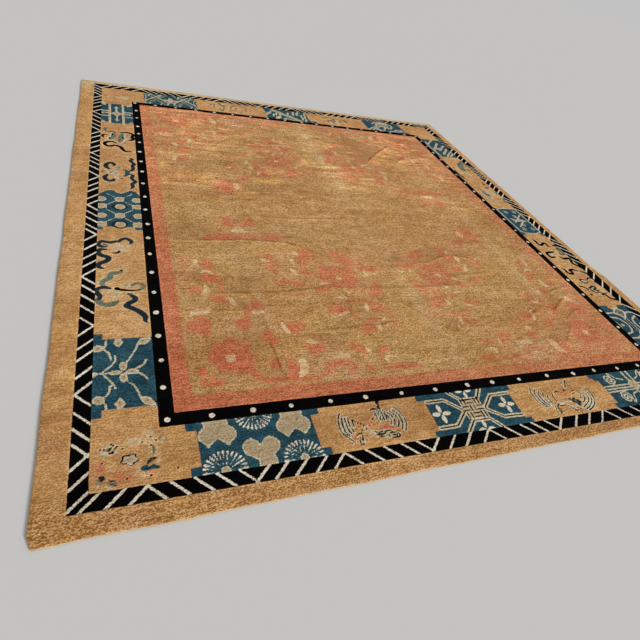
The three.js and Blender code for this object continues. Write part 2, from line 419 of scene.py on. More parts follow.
# The blossom has five round petals, and single dark knots are strewn round the sprays
petal_angles = np.linspace(0, 2 * np.pi, 41)
petal_reach = 0.72 + 0.34 * np.abs(np.cos(2.5 * petal_angles + 0.5))
petal_x = BLOSSOM_X + BLOSSOM_HALF_WIDTH * petal_reach * np.cos(petal_angles)
petal_y = BLOSSOM_Y + BLOSSOM_HALF_LENGTH * petal_reach * np.sin(petal_angles)
blossom_edge = np.stack([petal_x, petal_y], 1)
polygon("cream", blossom_edge)
stroke("dark", blossom_edge, 5, curved=False)
STREWN_KNOTS = (
    (-86, 48), (-77, 52), (-61, 51), (-56, 67), (-49, 60), (-35, 55), (-23, 46), (-58, 34),
    (-47, 33), (66, 78), (42, 62), (84, 58), (67, 43), (-84, -2), (-11, -66), (63, -65), (146, -58),
)
for knot_x, knot_y in STREWN_KNOTS:
    disc("dark", BLOSSOM_X + knot_x, BLOSSOM_Y + knot_y, STREWN_RADIUS)


def blue_panel(*blocks):
    """A blue ground: its body and its tabs, each as low x and y and high x and y."""
    for edges in blocks:
        block("blue", *edges)


def chrysanthemum(x, y, radius, first_angle, petals=15, threads=8):
    """Half a round flower of club petals, from its middle."""
    middle = np.array((x, y))
    for count, root, tip, width in ((petals, 0.64, 1.0, 8.0), (threads, 0.3, 0.66, 4.5)):
        for angle in np.radians(first_angle + np.linspace(0, 180, count)):
            toward = np.array((np.cos(angle), np.sin(angle))) * radius
            stroke("ivory", (middle + toward * root, middle + toward * tip), width, CLUB)
    disc("cream", x, y, radius * 0.24)


blue_panel(
    (-1190, -1772, -764, -1560), (-1226, -1594, -1188, -1560), (-1226, -1772, -1188, -1737),
    (-766, -1590, -728, -1560), (-766, -1772, -728, -1737),
)
chrysanthemum(-981, -1549, 70, 180)
chrysanthemum(-1114, -1765, 73, 0)
chrysanthemum(-836, -1765, 73, 0)
HANGING_BLOSSOM = (
    ("cream", "disc", (-33, -11, 33.7), (33, -11, 35.2)),
    ("cream", "polygon",
     ((-48, 58), (43, 58), (43, 29), (59, 8), (8, -32), (-3, -28), (-64, -10), (-60, 15), (-43, 25))),
    ("cream", TAIL, (36, (-33, -18), (-34, -39), (-36, -57)), (36, (33, -20), (33, -41), (33, -59))),
    ("brown", LINE, (3, (-2, -33), (0, -10), (-17, 8), (-26, 25)), (3, (0, -8), (8, 8), (19, 29))),
)
draw_motif(-1122, -1612, HANGING_BLOSSOM)
draw_motif(-840, -1612, HANGING_BLOSSOM, flip=-1)
STANDING_BLOSSOM = (
    ("cream", "disc", (-36, 21, 33), (33, 20, 34.5)),
    ("cream", "polygon", ((-25, -65), (-22, -32), (-61, -7), (-65, 29), (0, 25), (64, 29), (57, -7),
      (36, -22), (44, -32), (43, -65))),
    ("cream", TAIL, (33, (-36, 21), (-35, 43), (-34, 57)), (33, (31, 20), (33, 39), (33, 56))),
    ("brown", LINE, (3, (0, 27), (-3, 7), (7, -7), (21, -18)), (3, (-3, 7), (-18, -9), (-23, -25))),
)
draw_motif(-977, -1712, STANDING_BLOSSOM)

FIRST_PHOENIX = (
    ("lined", LINE, (11, (-123, 63), (-140, 32), (-144, -21), (-122, -54), (-107, -73)),
     (11, (-123, 40), (-129, 11), (-128, -25), (-115, -43)),
     (11, (-110, 40), (-114, 11), (-113, -21), (-103, -37)),
     (11, (-97, 38), (-101, 14), (-98, -14), (-93, -30)), (11, (-84, 25), (-85, 9), (-84, -7)),
     (11, (115, 63), (136, 32), (139, -21), (120, -57)),
     (11, (106, 50), (123, 22), (124, -18), (108, -47)), (11, (91, 45), (108, 18), (110, -14), (95, -34)),
     (11, (78, 40), (93, 14), (94, -9), (83, -26)), (11, (65, 32), (78, 13), (78, -6), (70, -19))),
    ("cream", LINE, (6, (-50, -20), (-30, -40), (0, -52))),
    ("dark", LINE, (5, (-81, 25), (-73, 16)), (5, (-67, 6), (-60, 13)), (5, (-57, 0), (-50, 7)),
     (5, (-70, -7), (-61, -13)), (5, (-48, -9), (-42, -1)), (5, (-27, -14), (-18, -9)),
     (5, (0, 14), (9, 22)), (5, (-11, 6), (-4, -1)), (5, (-41, -25), (-36, -19)),
     (5, (-61, -21), (-57, -29)), (5, (-91, -47), (-79, -39), (-65, -39)),
     (5, (-91, -59), (-84, -68), (-87, -82)), (5, (-81, -54), (-74, -66), (-73, -86)),
     (5, (-68, -50), (-67, -61), (-75, -73)), (5, (-88, -85), (-78, -87)),
     (6, (-9, -39), (4, -47), (22, -43)), (6, (-7, -54), (11, -57), (29, -52)), (6, (0, -63), (19, -66)),
     (6, (32, -47), (47, -42), (61, -47)),
     (6, (50, -57), (67, -54), (81, -59), (91, -68), (83, -77), (67, -79), (50, -75)),
     (6, (60, -66), (71, -65), (75, -72)), (6, (39, -61), (44, -72)), (6, (83, -47), (97, -52))),
    ("navy", LINE, (12, (52, 102), (55, 86), (50, 68), (55, 50))),
    ("navy", LEAF, (10, (12, 58), (24, 65), (39, 54), (45, 42))),
    ("dark", LEAF, (6, (39, 86), (55, 93), (67, 83))),
    ("dark", "disc", (16, 63, 4.3), (61, 97, 4.3)),
    ("cream", "disc", (45, 79, 3.6)),
    ("pale", "spot", (-30, -34, 30, 0.9), (-6, -46, 26, 0.8)),
    ("coral", LEAF, (19, (9, -32), (47, -24), (97, -36), (129, -49)),
     (17, (-110, -70), (-98, -54), (-88, -39))),
    ("blush", "spot", (68, -36, 57, 0.5), (-18, 4, 29, 0.8), (-98, -59, 23, 0.9)),
    ("coral", "disc", (-17, 2, 7.9), (-4, -9, 4.3)),
    ("cream", LEAF, (26, (-93, -54), (-79, -57), (-68, -82)), (40, (-9, -50), (39, -57), (97, -66))),
)
PHOENIX_X, PHOENIX_Y = -522, -1662
draw_motif(PHOENIX_X, PHOENIX_Y, FIRST_PHOENIX)
# Beside its body stand four zigzags
for zigzag_x in (21, 35, 49, 63):
    zigzag = [(zigzag_x + 7 * (step % 2), 54 - 10 * step) for step in range(6)]
    draw_motif(PHOENIX_X, PHOENIX_Y, (("lined", LINE, (10, *zigzag)),))

blue_panel(
    (-252, -1772, 195, -1560), (-286, -1591, -250, -1560), (-280, -1772, -250, -1743),
    (193, -1591, 219, -1560), (193, -1772, 228, -1743),
)
# The double lines round the panel's four lobes, each cream with a dark core
FRET_LINES = (
    ((-244, -1601), (-158, -1601), (-91, -1660), (-91, -1675), (-158, -1731), (-244, -1732)),
    ((191, -1604), (92, -1604), (29, -1660), (29, -1675), (92, -1721), (191, -1725)),
    ((-125, -1553), (-72, -1613), (14, -1613), (64, -1553)),
    ((-127, -1773), (-70, -1719), (13, -1719), (57, -1773)),
)
for line in FRET_LINES:
    stroke("cream", line, 21, curved=False)
    stroke("dark", line, 6, curved=False)
# A plain basket weave fills the middle
WEAVE_LEFT, WEAVE_NEAR, WEAVE_CELL = -88, -1711, 36
block("cream", WEAVE_LEFT, WEAVE_NEAR, WEAVE_LEFT + 3 * WEAVE_CELL, WEAVE_NEAR + 3 * WEAVE_CELL)
for cell in range(9):
    cell_x = WEAVE_LEFT + WEAVE_CELL * (cell % 3)
    cell_y = WEAVE_NEAR + WEAVE_CELL * (cell // 3)
    for gap in (9, 27):
        if cell % 2:
            ends = ((cell_x + 3, cell_y + gap), (cell_x + WEAVE_CELL - 3, cell_y + gap))
        else:
            ends = ((cell_x + gap, cell_y + 3), (cell_x + gap, cell_y + WEAVE_CELL - 3))
        stroke("dark", ends, 7, curved=False)


def four_petals(x, y, reach, width, colour="ivory"):
    """A small flower of four pointed petals round a dark eye."""
    for turn_x, turn_y in ((1, 0), (0, 1), (-1, 0), (0, -1)):
        tip = (x + reach * turn_x, y + reach * turn_y)
        root = (x + 0.14 * reach * turn_x, y + 0.14 * reach * turn_y)
        stroke(colour, (root, tip), width, LEAF)
    disc("dark", x, y, width * 0.16)


four_petals(-203, -1666, 46, 22)
four_petals(143, -1664, 44, 22)
four_petals(-33, -1566, 42, 18)
four_petals(-32, -1767, 42, 18)

SECOND_PHOENIX = (
    ("lined", LINE, (12, (-152, 79), (-171, 47), (-169, -7), (-144, -40)),
     (12, (-137, 63), (-155, 39), (-152, -4), (-131, -40)),
     (12, (-121, 52), (-137, 30), (-134, -7), (-117, -36)),
     (12, (-104, 39), (-117, 20), (-114, -11), (-102, -35)),
     (12, (-89, 23), (-99, 7), (-96, -18), (-89, -36)),
     (12, (161, 39), (173, 13), (165, -29), (130, -66), (79, -88)),
     (12, (143, 25), (156, 3), (148, -30), (115, -59), (72, -78)),
     (12, (128, 16), (139, -4), (128, -32), (100, -50), (64, -66)),
     (12, (107, 13), (118, -7), (107, -27), (82, -42)), (12, (87, 13), (99, -4), (87, -20))),
    ("cream", LINE, (11, (39, 47), (56, 65), (70, 85), (87, 90)), (7, (-56, 18), (-45, 29), (-29, 29)),
     (7, (-58, -25), (-36, -29), (-7, -23), (14, -29), (36, -54), (57, -86)),
     (9, (-83, -27), (-92, -43), (-104, -59), (-104, -75), (-94, -83), (-81, -78)),
     (9, (-65, -40), (-36, -36), (-7, -47), (11, -65), (14, -86))),
    ("dark", LINE, (6, (50, 54), (63, 70), (73, 87), (87, 92)), (6, (77, 79), (82, 61), (87, 47)),
     (6, (-63, -14), (-63, 11), (-56, 29)), (6, (-36, 32), (-18, 39), (-4, 32), (1, 23)),
     (6, (-61, -30), (-76, -40), (-86, -54), (-85, -75)),
     (5, (-79, -23), (-90, -40), (-104, -61), (-102, -78), (-89, -83), (-79, -75), (-76, -54)),
     (6, (-65, -43), (-36, -42), (-9, -52), (5, -70), (11, -93)), (6, (21, -61), (39, -70), (43, -86)),
     (6, (16, -75), (28, -80), (30, -95)), (5, (50, 21), (79, 30), (107, 20)), (5, (56, 10), (79, 17)),
     (5, (72, 39), (97, 36), (118, 25))),
    ("navy", LEAF, (11, (21, 32), (39, 47), (54, 61))),
    ("coral", LEAF, (16, (3, 13), (25, 25), (50, 34))),
    ("blush", "spot", (21, 29, 43, 0.6)),
    ("navy", "disc", (21, -14, 7.9), (36, -23, 7.9), (46, -14, 7.9), (43, -35, 7.9), (59, -27, 7.9),
     (56, -43, 7.9), (68, -36, 7.9), (30, -30, 7.9), (51, -50, 7.9)),
)
draw_motif(490, -1669, SECOND_PHOENIX)

blue_panel(
    (776, -1772, 1165, -1560), (733, -1585, 778, -1560), (752, -1602, 778, -1580),
    (752, -1772, 778, -1742), (1163, -1595, 1200, -1560), (1163, -1772, 1200, -1740),
)
# Straight bars cross under a boss, with a spiral scroll in each quarter
for bar_y in (-1645, -1662, -1679):
    block("cream", 776, bar_y - 4, 1165, bar_y + 4)
for bar_x in (978, 1012):
    block("cream", bar_x - 6, -1772, bar_x + 6, -1560)
for boss_radius, boss_colour in ((27, "cream"), (19, "navy"), (12, "cream")):
    disc(boss_colour, 985, -1651, boss_radius)
disc("dark", 985, -1651, 5)


def spiral(x, y, radius, turns, start, hand_side, tail):
    """A scroll wound round its middle, running out along its tail."""
    angles = np.radians(start) + hand_side * np.linspace(0, 2 * np.pi * turns, 14 * int(turns + 1))
    reach = np.linspace(0.12, 1, len(angles)) * radius
    points = [(x + r * np.cos(a), y + r * np.sin(a)) for r, a in zip(reach, angles)]
    stroke("cream", points + [(x + tail_x, y + tail_y) for tail_x, tail_y in tail], 8.5)


spiral(852, -1603, 33, 1.9, 20, 1, ((20, 34), (40, 22), (52, 2), (92, -12)))
spiral(866, -1718, 35, 1.9, -20, -1, ((26, -34), (44, -18), (62, 12), (100, 24)))
spiral(1118, -1603, 33, 1.9, 160, -1, ((-20, 34), (-40, 22), (-52, 2), (-84, -12)))
spiral(1108, -1718, 35, 1.9, 200, 1, ((-26, -34), (-44, -18), (-60, 12), (-84, 22)))


# The left border: a vine panel, a lattice of coins and a panel of crossed bars, and on the tan
# ground between them tied scrolls and trailing ribbons.
blue_panel(
    (-1528, -1464, -1308, -1117), (-1528, -1497, -1493, -1460), (-1528, -1120, -1494, -1086)
)
VINE = (
    ("cream", LEAF, (29, (0, 7), (-1, 26), (-1, 50)), (23, (-6, 0), (-29, -1), (-54, -1)),
     (27, (6, -1), (29, 0), (54, 0)), (29, (0, -7), (0, -26), (1, -49)),
     (10, (93, 192), (100, 187), (106, 183)), (10, (95, -185), (102, -179), (106, -175))),
    ("brown", "disc", (0, 26, 4.2), (-31, -1, 3.7), (32, 0, 3.7), (1, -27, 4.2), (-91, 128, 4.2),
     (-84, -125, 4.2), (-16, 152, 3.7), (-14, -147, 3.7), (76, 158, 3.7), (78, -144, 3.7)),
    ("blue", LINE, (1, (-10, 10), (0, 0), (11, -10))),
    ("cream", LINE, (7, (8, 40), (28, 77), (47, 117), (56, 148)),
     (7, (9, -44), (36, -72), (51, -110), (57, -133)),
     (7, (-52, -1), (-74, 1), (-44, 32), (-28, 61), (-28, 89)),
     (7, (-78, -1), (-57, -23), (-39, -51), (-26, -79)), (8, (45, 14), (70, 29), (82, 55)),
     (8, (47, -9), (70, -23), (83, -43)), (8, (-75, 124), (-62, 143), (-61, 168)),
     (8, (-75, 127), (-55, 108), (-46, 87), (-44, 65)), (8, (-67, -119), (-50, -94), (-45, -64)),
     (8, (-69, -133), (-60, -150), (-58, -169))),
    ("cream", "polygon", ((55, 155), (65, 172), (103, 179), (106, 164), (93, 145), (79, 136), (60, 138)),
     ((55, -129), (76, -125), (90, -136), (106, -164), (104, -172), (69, -163), (57, -145)),
     ((-107, 11), (-92, 4), (-71, -1), (-91, -7), (-107, -20)), ((-28, 178), (-3, 178), (-6, 169),
      (4, 158), (-3, 148), (-10, 134), (-16, 130), (-24, 136), (-32, 149), (-35, 158), (-26, 168)),
     ((-26, -173), (0, -173), (-5, -164), (7, -150), (0, -140), (-8, -126), (-13, -119), (-19, -127),
      (-24, -139), (-34, -147), (-24, -163))),
    ("cream", "disc", (-91, 128, 18.7), (-72, 126, 7.5), (-84, -125, 19.7), (-69, -123, 7.5)),
    ("dark", LINE, (3, (84, 212), (95, 194), (105, 178)), (3, (87, 136), (97, 155), (105, 169)),
     (2, (50, 178), (79, 179), (102, 181)), (3, (89, -197), (98, -182), (106, -171)),
     (2, (55, -168), (79, -169), (102, -170))),
)
draw_motif(-1420, -1295, VINE)

LOWER_SCROLL = (
    ("navy", RIBBON, (22, (13, 49), (22, 70), (41, 81), (60, 71), (70, 54), (63, 34)),
     (21, (15, 53), (-3, 55), (-24, 45), (-46, 49), (-67, 56), (-79, 35), (-75, 15), (-59, 7), (-41, 10)),
     (26, (-44, -16), (-73, -16), (-82, -40), (-66, -65), (-40, -76), (-34, -96), (-51, -116),
      (-74, -130), (-79, -150), (-69, -163), (-54, -169))),
    ("grey_green", LEAF, (15, (-63, 35), (-50, 25), (-35, 20))),
    ("dark", LINE, (4, (70, 139), (80, 129), (70, 118), (61, 129), (70, 139))),
    ("cream", LINE, (6, (30, 25), (52, 15), (57, -7), (40, -24), (15, -20), (5, 0), (12, 20), (30, 25)),
     (4, (-35, 0), (-15, 8), (0, 0)), (5, (-23, 30), (-10, 20), (-15, 0))),
    ("cream", "disc", (7, 30, 11), (0, -20, 9)),
    ("navy", CRESCENT, (13, (-23, -34), (-9, -46), (7, -42), (12, -26), (-4, -11))),
    ("blush", "spot", (35, 3, 30, 0.4), (-58, 78, 30, 0.5), (2, 20, 25, 0.4), (100, 80, 25, 0.35)),
    ("pale", "spot", (35, 3, 47, 0.8)),
)
draw_motif(-1438, -484, LOWER_SCROLL)

LOWER_KNOT = (
    ("grey_green", RIBBON, (26, (22, 152), (10, 134), (-19, 129), (-29, 115), (-28, 95), (-49, 79),
      (-61, 64), (-59, 47), (-48, 42)),
     (24, (-68, -36), (-75, -56), (-64, -81), (-39, -91), (-15, -85), (7, -66))),
    ("navy", "disc", (20, 150, 6)),
    ("navy", RIBBON, (23, (-26, 19), (-52, 28), (-74, 22), (-84, 6), (-77, -14), (-67, -35), (-75, -56)),
     (26, (45, -21), (70, -45), (71, -66), (46, -85), (36, -102), (56, -116), (80, -135), (104, -165),
      (111, -181), (106, -198), (116, -211))),
    ("navy", LINE, (4, (-86, -52), (-76, -86), (-42, -102), (-10, -95), (8, -72)),
     (4, (-62, -46), (-54, -72), (-36, -79), (-14, -74))),
    ("grey_green", "disc", (-71, -50, 7)),
    ("dark", "disc", (0, 17, 11.5)),
    ("dark", TAIL, (16, (0, 16), (25, 7), (71, 2), (101, 10))),
    ("grey_green", LINE, (14, (88, 4), (114, 24), (104, 48), (77, 53), (63, 39))),
    ("cream", "disc", (30, 30, 7)),
    ("cream", LINE, (4, (-35, 0), (-15, -30), (-30, -55))),
    ("blush", "spot", (-36, -56, 20, 0.7)),
    ("pale", "spot", (-5, -15, 62, 1.0), (50, 40, 44, 0.9)),
)
draw_motif(-1438, -818, LOWER_KNOT)

blue_panel((-1528, -294, -1308, 40), (-1528, -322, -1500, -290), (-1346, -322, -1308, -290))
COIN_PANEL_TOP = (
    (-1528, 30), (-1502, 61), (-1478, 90), (-1452, 92), (-1430, 66), (-1411, 57), (-1392, 68),
    (-1364, 94), (-1337, 90), (-1322, 61), (-1308, 34),
)
polygon("blue", COIN_PANEL_TOP)
stroke("cream", COIN_PANEL_TOP[2:9], 6, curved=False)
# Rows of coins; the middle ones lie in turn inside a ring and on a crossing of the pale net
COIN_MIDDLE = -1419
NET_LINES = (
    ((18, 18), (66, 62)), ((-18, 18), (-66, 62)), ((-66, 62), (-66, 66)), ((66, 62), (66, 66)),
    ((18, -18), (66, -62)), ((-18, -18), (-66, -62)),
)
for coin_y, crosses in ((-271, False), (-185, True), (-91, False), (-13, True)):
    if crosses:
        for start, end in NET_LINES:
            points = [(COIN_MIDDLE + net_x, coin_y + net_y) for net_x, net_y in (start, end)]
            stroke("cream", points, 5, curved=False)
    else:
        disc("navy", COIN_MIDDLE, coin_y, 40)
        disc("blue", COIN_MIDDLE, coin_y, 34)
        for side in (-1, 1):
            net_x = COIN_MIDDLE + side * 66
            stroke("cream", ((net_x, coin_y - 20), (net_x, coin_y + 24)), 5)
    for coin_x in (COIN_MIDDLE - 90, COIN_MIDDLE, COIN_MIDDLE + 89):
        coin_place = (coin_x + hand.uniform(-3, 3), coin_y + hand.uniform(-3, 3))
        disc("cream", *coin_place, 26)
        disc("straw", *coin_place, 15)

UPPER_KNOT = (
    ("navy", RIBBON, (26, (-46, 31), (-67, 63), (-61, 101), (-39, 118), (-20, 101), (-23, 77)),
     (26, (-55, -37), (-72, -70), (-66, -102), (-42, -118), (-22, -102), (-26, -86)),
     (23, (57, 15), (81, 33), (88, 64), (85, 100), (97, 117), (81, 147), (74, 169), (87, 184), (70, 204)),
     (23, (61, -20), (84, -32), (75, -69), (87, -97), (96, -114), (78, -139), (78, -160), (80, -176),
      (68, -202))),
    ("brown", LEAF, (12, (-62, 17), (-86, 1), (-83, -20), (-70, -28))),
    ("cream", LINE, (11, (-70, 22), (-42, -11), (-16, -53), (14, -93)),
     (11, (-53, -27), (-26, 16), (0, 53), (32, 85)),
     (10, (-24, 42), (-13, 16), (0, -5), (0, -37), (-16, -69))),
    ("cream", LEAF, (22, (-42, 16), (-26, 0), (-16, -21))),
    ("dark", LINE, (5, (-64, 22), (-37, -11), (-9, -53), (19, -90)),
     (5, (-47, -21), (-21, 20), (6, 56), (35, 86)), (5, (24, 93), (32, 74)), (5, (24, -74), (31, -93)),
     (5, (0, 74), (7, 59))),
    ("grey_green", LEAF, (16, (-10, 53), (6, 69), (26, 86)), (16, (-5, -69), (11, -80), (32, -90))),
    ("blush", "spot", (11, 21, 21, 0.7)),
    ("blue", CRESCENT, (27, (28, 42), (48, 24), (54, -5), (44, -40), (28, -48))),
    ("blue", LEAF, (8, (85, 53), (83, 80), (88, 101)), (11, (77, -48), (77, -69), (85, -96)),
     (10, (88, -122), (77, -143), (77, -165))),
    ("navy", LINE, (4, (-75, -215), (-73, -223))),
)
draw_motif(-1423, 317, UPPER_KNOT)

SCROLL_ROLLS = (
    ("grey_green", TAIL, (23, (-78, 140), (-81, 112), (-69, 87))),
    ("navy", LINE, (10, (-74, 92), (-50, 87), (-33, 95), (-9, 84))),
    ("dark", RIBBON,
     (24, (14, 79), (39, 96), (70, 96), (91, 79), (98, 54), (90, 29), (97, -1), (81, -31), (64, -21)),
     (25, (-9, -91), (-35, -71), (-64, -81), (-82, -106), (-73, -135), (-54, -145), (-20, -130),
      (10, -140), (24, -170), (36, -200), (56, -211), (84, -201))),
    ("grey_green", LEAF, (13, (92, 40), (97, 20), (94, -10)), (40, (-23, 77), (-33, 20), (-45, -45)),
     (44, (30, 77), (25, 10), (10, -72))),
    ("cream", LINE, (12, (-35, 70), (-44, 35), (-55, 0), (-63, -35), (-50, -61), (-20, -72)),
     (12, (50, 65), (42, 30), (46, -10), (36, -50), (22, -72))),
    ("dark", LEAF, (13, (-33, 65), (-35, 40), (-39, 20)), (13, (-50, -5), (-53, -25), (-51, -45)),
     (13, (33, 30), (30, 0), (36, -20))),
    ("coral", LINE, (10, (10, 107), (-3, 60), (-10, 10), (-15, -30))),
    ("cream", LEAF, (13, (-30, -50), (-18, -62), (-10, -72)), (11, (62, 10), (70, -7), (75, -20))),
    ("dark", LINE, (6, (-20, -45), (-10, -60)), (6, (0, -65), (10, -45)),
     (4, (66, 30), (75, 10), (80, -15)), (4, (-94, 215), (-95, 230), (-85, 246), (-74, 230))),
    ("dark", CRESCENT, (17, (-54, 32), (-85, 35), (-95, 5), (-85, -26))),
    ("coral", "disc", (-74, 3, 6), (60, 60, 7)),
    ("cream", "disc", (50, 55, 5)),
    ("brown", LINE, (6, (44, -77), (57, -87), (56, -102))),
    ("coral", LEAF, (7, (-90, 207), (-81, 190), (-73, 175))),
    ("dark", "disc", (-94, 165, 3.5)),
    ("blush", "spot", (80, -55, 22, 0.5), (-95, 20, 20, 0.4)),
)
draw_motif(-1418, 821, SCROLL_ROLLS)

# Crossed bars: two upright and two level cream bars round a pointed flower
blue_panel(
    (-1528, 1076, -1308, 1424), (-1460, 1062, -1386, 1436), (-1530, 1201, -1308, 1264)
)
for bar_x in (-1468, -1378):
    block("cream", bar_x - 8, 1042, bar_x + 8, 1436)
for bar_y in (1191, 1284):
    for bar_left, bar_right in ((-1528, -1468), (-1378, -1308)):
        block("cream", bar_left, bar_y - 8, bar_right, bar_y + 8)

POINTED_FLOWER = (
    ("cream", "polygon",
     ((-42, -1), (-17, 22), (0, 52), (19, 22), (42, -1), (20, -23), (2, -48), (-17, -24)),
     ((-26, 100), (-2, 144), (23, 100), (5, 117), (-1, 118), (-8, 115)),
     ((-21, -103), (1, -146), (23, -103), (7, -116), (1, -120), (-5, -116)),
     ((-107, 219), (-95, 219), (-80, 159), (-95, 154), (-105, 167)),
     ((105, 219), (93, 219), (78, 167), (90, 157), (104, 174)),
     ((-106, -146), (-95, -140), (-77, -165), (-70, -190), (-82, -180), (-95, -165), (-105, -160)),
     ((107, -140), (93, -140), (78, -160), (69, -180), (83, -173), (95, -160), (105, -160))),
    ("grey_green", "disc", (0, 0, 12)),
    ("cream", LINE, (12, (-1, 119), (-2, 85), (-1, 45)), (12, (1, -40), (1, -90), (1, -120))),
    ("grey_green", LEAF, (34, (-95, -5), (-70, 0), (-43, -3)), (34, (45, -3), (73, -1), (100, -4))),
    ("cream", LEAF, (14, (-97, 15), (-92, -3), (-95, -20)), (13, (-77, 10), (-67, -1), (-57, 10)),
     (14, (85, 17), (90, -3), (87, -20)), (13, (58, 10), (68, -1), (78, 10)),
     (16, (-92, 209), (-85, 184), (-75, 154)), (16, (90, 204), (83, 184), (73, 154))),
    ("navy", LINE, (4, (-95, -150), (-87, -173), (-70, -185)), (4, (93, -153), (83, -173), (78, -180))),
)
draw_motif(-1421, 1244, POINTED_FLOWER)

# A faded flower on the tan ground of the far left corner
CORNER_FLOWER = (
    ("blush", "spot", (-20, 10, 70, 0.6)),
    ("pale", "spot", (40, -10, 60, 0.7)),
    ("coral", LEAF, (16, (-60, 30), (-20, 44), (20, 36))),
    ("grey_green", LEAF, (14, (-40, -40), (0, -52), (44, -44))),
    ("cream", LINE, (12, (30, 20), (60, 6), (72, -20), (44, -30)),
     (10, (-70, -10), (-40, 8), (-4, 0), (20, -18))),
)
draw_motif(-1415, 1590, CORNER_FLOWER)


# The right border: a lattice panel, a key panel and a panel of bars, with scrolls and ribbons
# between them. They are much foreshortened in the photo, so they are drawn more simply.
blue_panel((1318, -1410, 1535, -1057), (1318, -1437, 1352, -1405), (1501, -1437, 1535, -1405))
disc("blue", 1426, -1060, 42, cut=True)

STADIUM_LATTICE = (
    ("cream", LINE, (11, (-114, 107), (-82, 108), (-50, 107), (-32, 95)),
     (11, (105, 107), (83, 108), (60, 107), (43, 95)),
     (11, (5, 154), (28, 133), (50, 111), (28, 85), (5, 59), (-17, 85), (-40, 111), (-17, 133), (5, 154)),
     (6, (-9, 126), (23, 91)), (6, (3, 137), (34, 104)), (6, (-20, 113), (10, 78)),
     (11, (-114, -108), (-82, -109), (-50, -108), (-32, -95)),
     (11, (105, -108), (83, -109), (60, -108), (43, -95)), (11, (5, -155), (28, -134), (50, -112),
      (28, -86), (5, -60), (-17, -86), (-40, -112), (-17, -134), (5, -155)), (6, (-9, -127), (23, -92)),
     (6, (3, -138), (34, -105)), (6, (-20, -114), (10, -79)),
     (12, (-112, 72), (-60, 57), (-39, 22), (-35, 0), (-39, -23), (-60, -58), (-112, -73)),
     (12, (105, 71), (55, 47), (38, 17), (35, 0), (38, -18), (55, -48), (105, -72)),
     (6, (-11, 55), (-11, -55)), (6, (11, 55), (11, -55))),
    ("navy", "polygon", ((5, 144), (39, 111), (5, 70), (-29, 111)),
     ((5, -145), (39, -112), (5, -70), (-29, -112))),
    ("cream", "disc", (-81, 0, 12), (80, 0, 11)),
    ("brown", "disc", (-81, 0, 4.5), (80, 0, 4.5)),
    ("cream", LEAF, (6, (-105, 37), (-107, 0), (-105, -38))),
)
draw_motif(1431, -1233, STADIUM_LATTICE)

RIGHT_SCROLL = (
    ("dark", RIBBON,
     (23, (-79, 174), (-60, 155), (-63, 110), (-47, 95), (2, 125), (16, 112), (13, 80), (33, 74)),
     (24, (13, 14), (-35, 8), (-72, -1), (-79, -30), (-72, -53), (-25, -49)),
     (26, (11, -44), (31, -68), (82, -65), (82, -86), (65, -122), (77, -139), (90, -157), (95, -180))),
    ("dark", LINE, (18, (67, 91), (101, 96), (100, 76)), (14, (74, 59), (76, 34)),
     (14, (54, 5), (58, -18), (82, -16))),
    ("grey_green", LEAF, (46, (82, 91), (89, 60), (87, 18), (84, -22)),
     (26, (93, 47), (109, 31), (147, 35))),
    ("cream", LINE, (13, (93, 79), (116, 57), (132, 38)), (12, (5, 5), (21, -4), (25, -17)),
     (12, (-59, -18), (-33, -27))),
    ("coral", LINE, (9, (-3, -68), (17, -86))),
)
draw_motif(1436, -484, RIGHT_SCROLL)

RIGHT_KNOT = (
    ("dark", RIBBON, (24, (-86, 125), (-73, 108), (-75, 80), (-67, 63), (-36, 61), (-32, 82), (-36, 95),
      (-3, 108), (19, 101), (32, 84)),
     (23, (53, 84), (83, 72), (95, 50), (92, 22), (99, 5), (91, -28), (95, -57), (95, -82))),
    ("navy", LEAF, (40, (-35, 2), (-16, -17), (22, -26))),
    ("cream", LEAF, (24, (-31, -12), (-11, -23), (16, -23)), (22, (42, -10), (67, -14), (77, -30))),
    ("dark", LINE, (8, (-40, -9), (-35, -36), (0, -44)), (7, (39, -18), (62, -24), (72, -38)),
     (16, (-94, -72), (-72, -82), (-54, -106)), (8, (24, -70), (26, -93)),
     (19, (26, -160), (50, -168), (56, -199), (91, -216))),
    ("navy", LINE, (13, (33, -5), (70, 14), (94, 0)),
     (16, (-28, -96), (21, -73), (25, -95), (-25, -121), (-28, -96)),
     (14, (-24, -125), (-5, -141), (26, -119)), (10, (17, -137), (41, -150), (79, -149))),
    ("cream", LINE, (9, (-20, -102), (-11, -128), (6, -134))),
    ("dark", "disc", (-73, -159, 11)),
    ("brown", LINE, (12, (-83, -115), (-62, -126))),
    ("pale", "spot", (55, -117, 70, 0.6)),
)
draw_motif(1436, -788, RIGHT_KNOT)

blue_panel((1318, -235, 1535, 130), (1318, -262, 1346, -230), (1507, -262, 1535, -230))
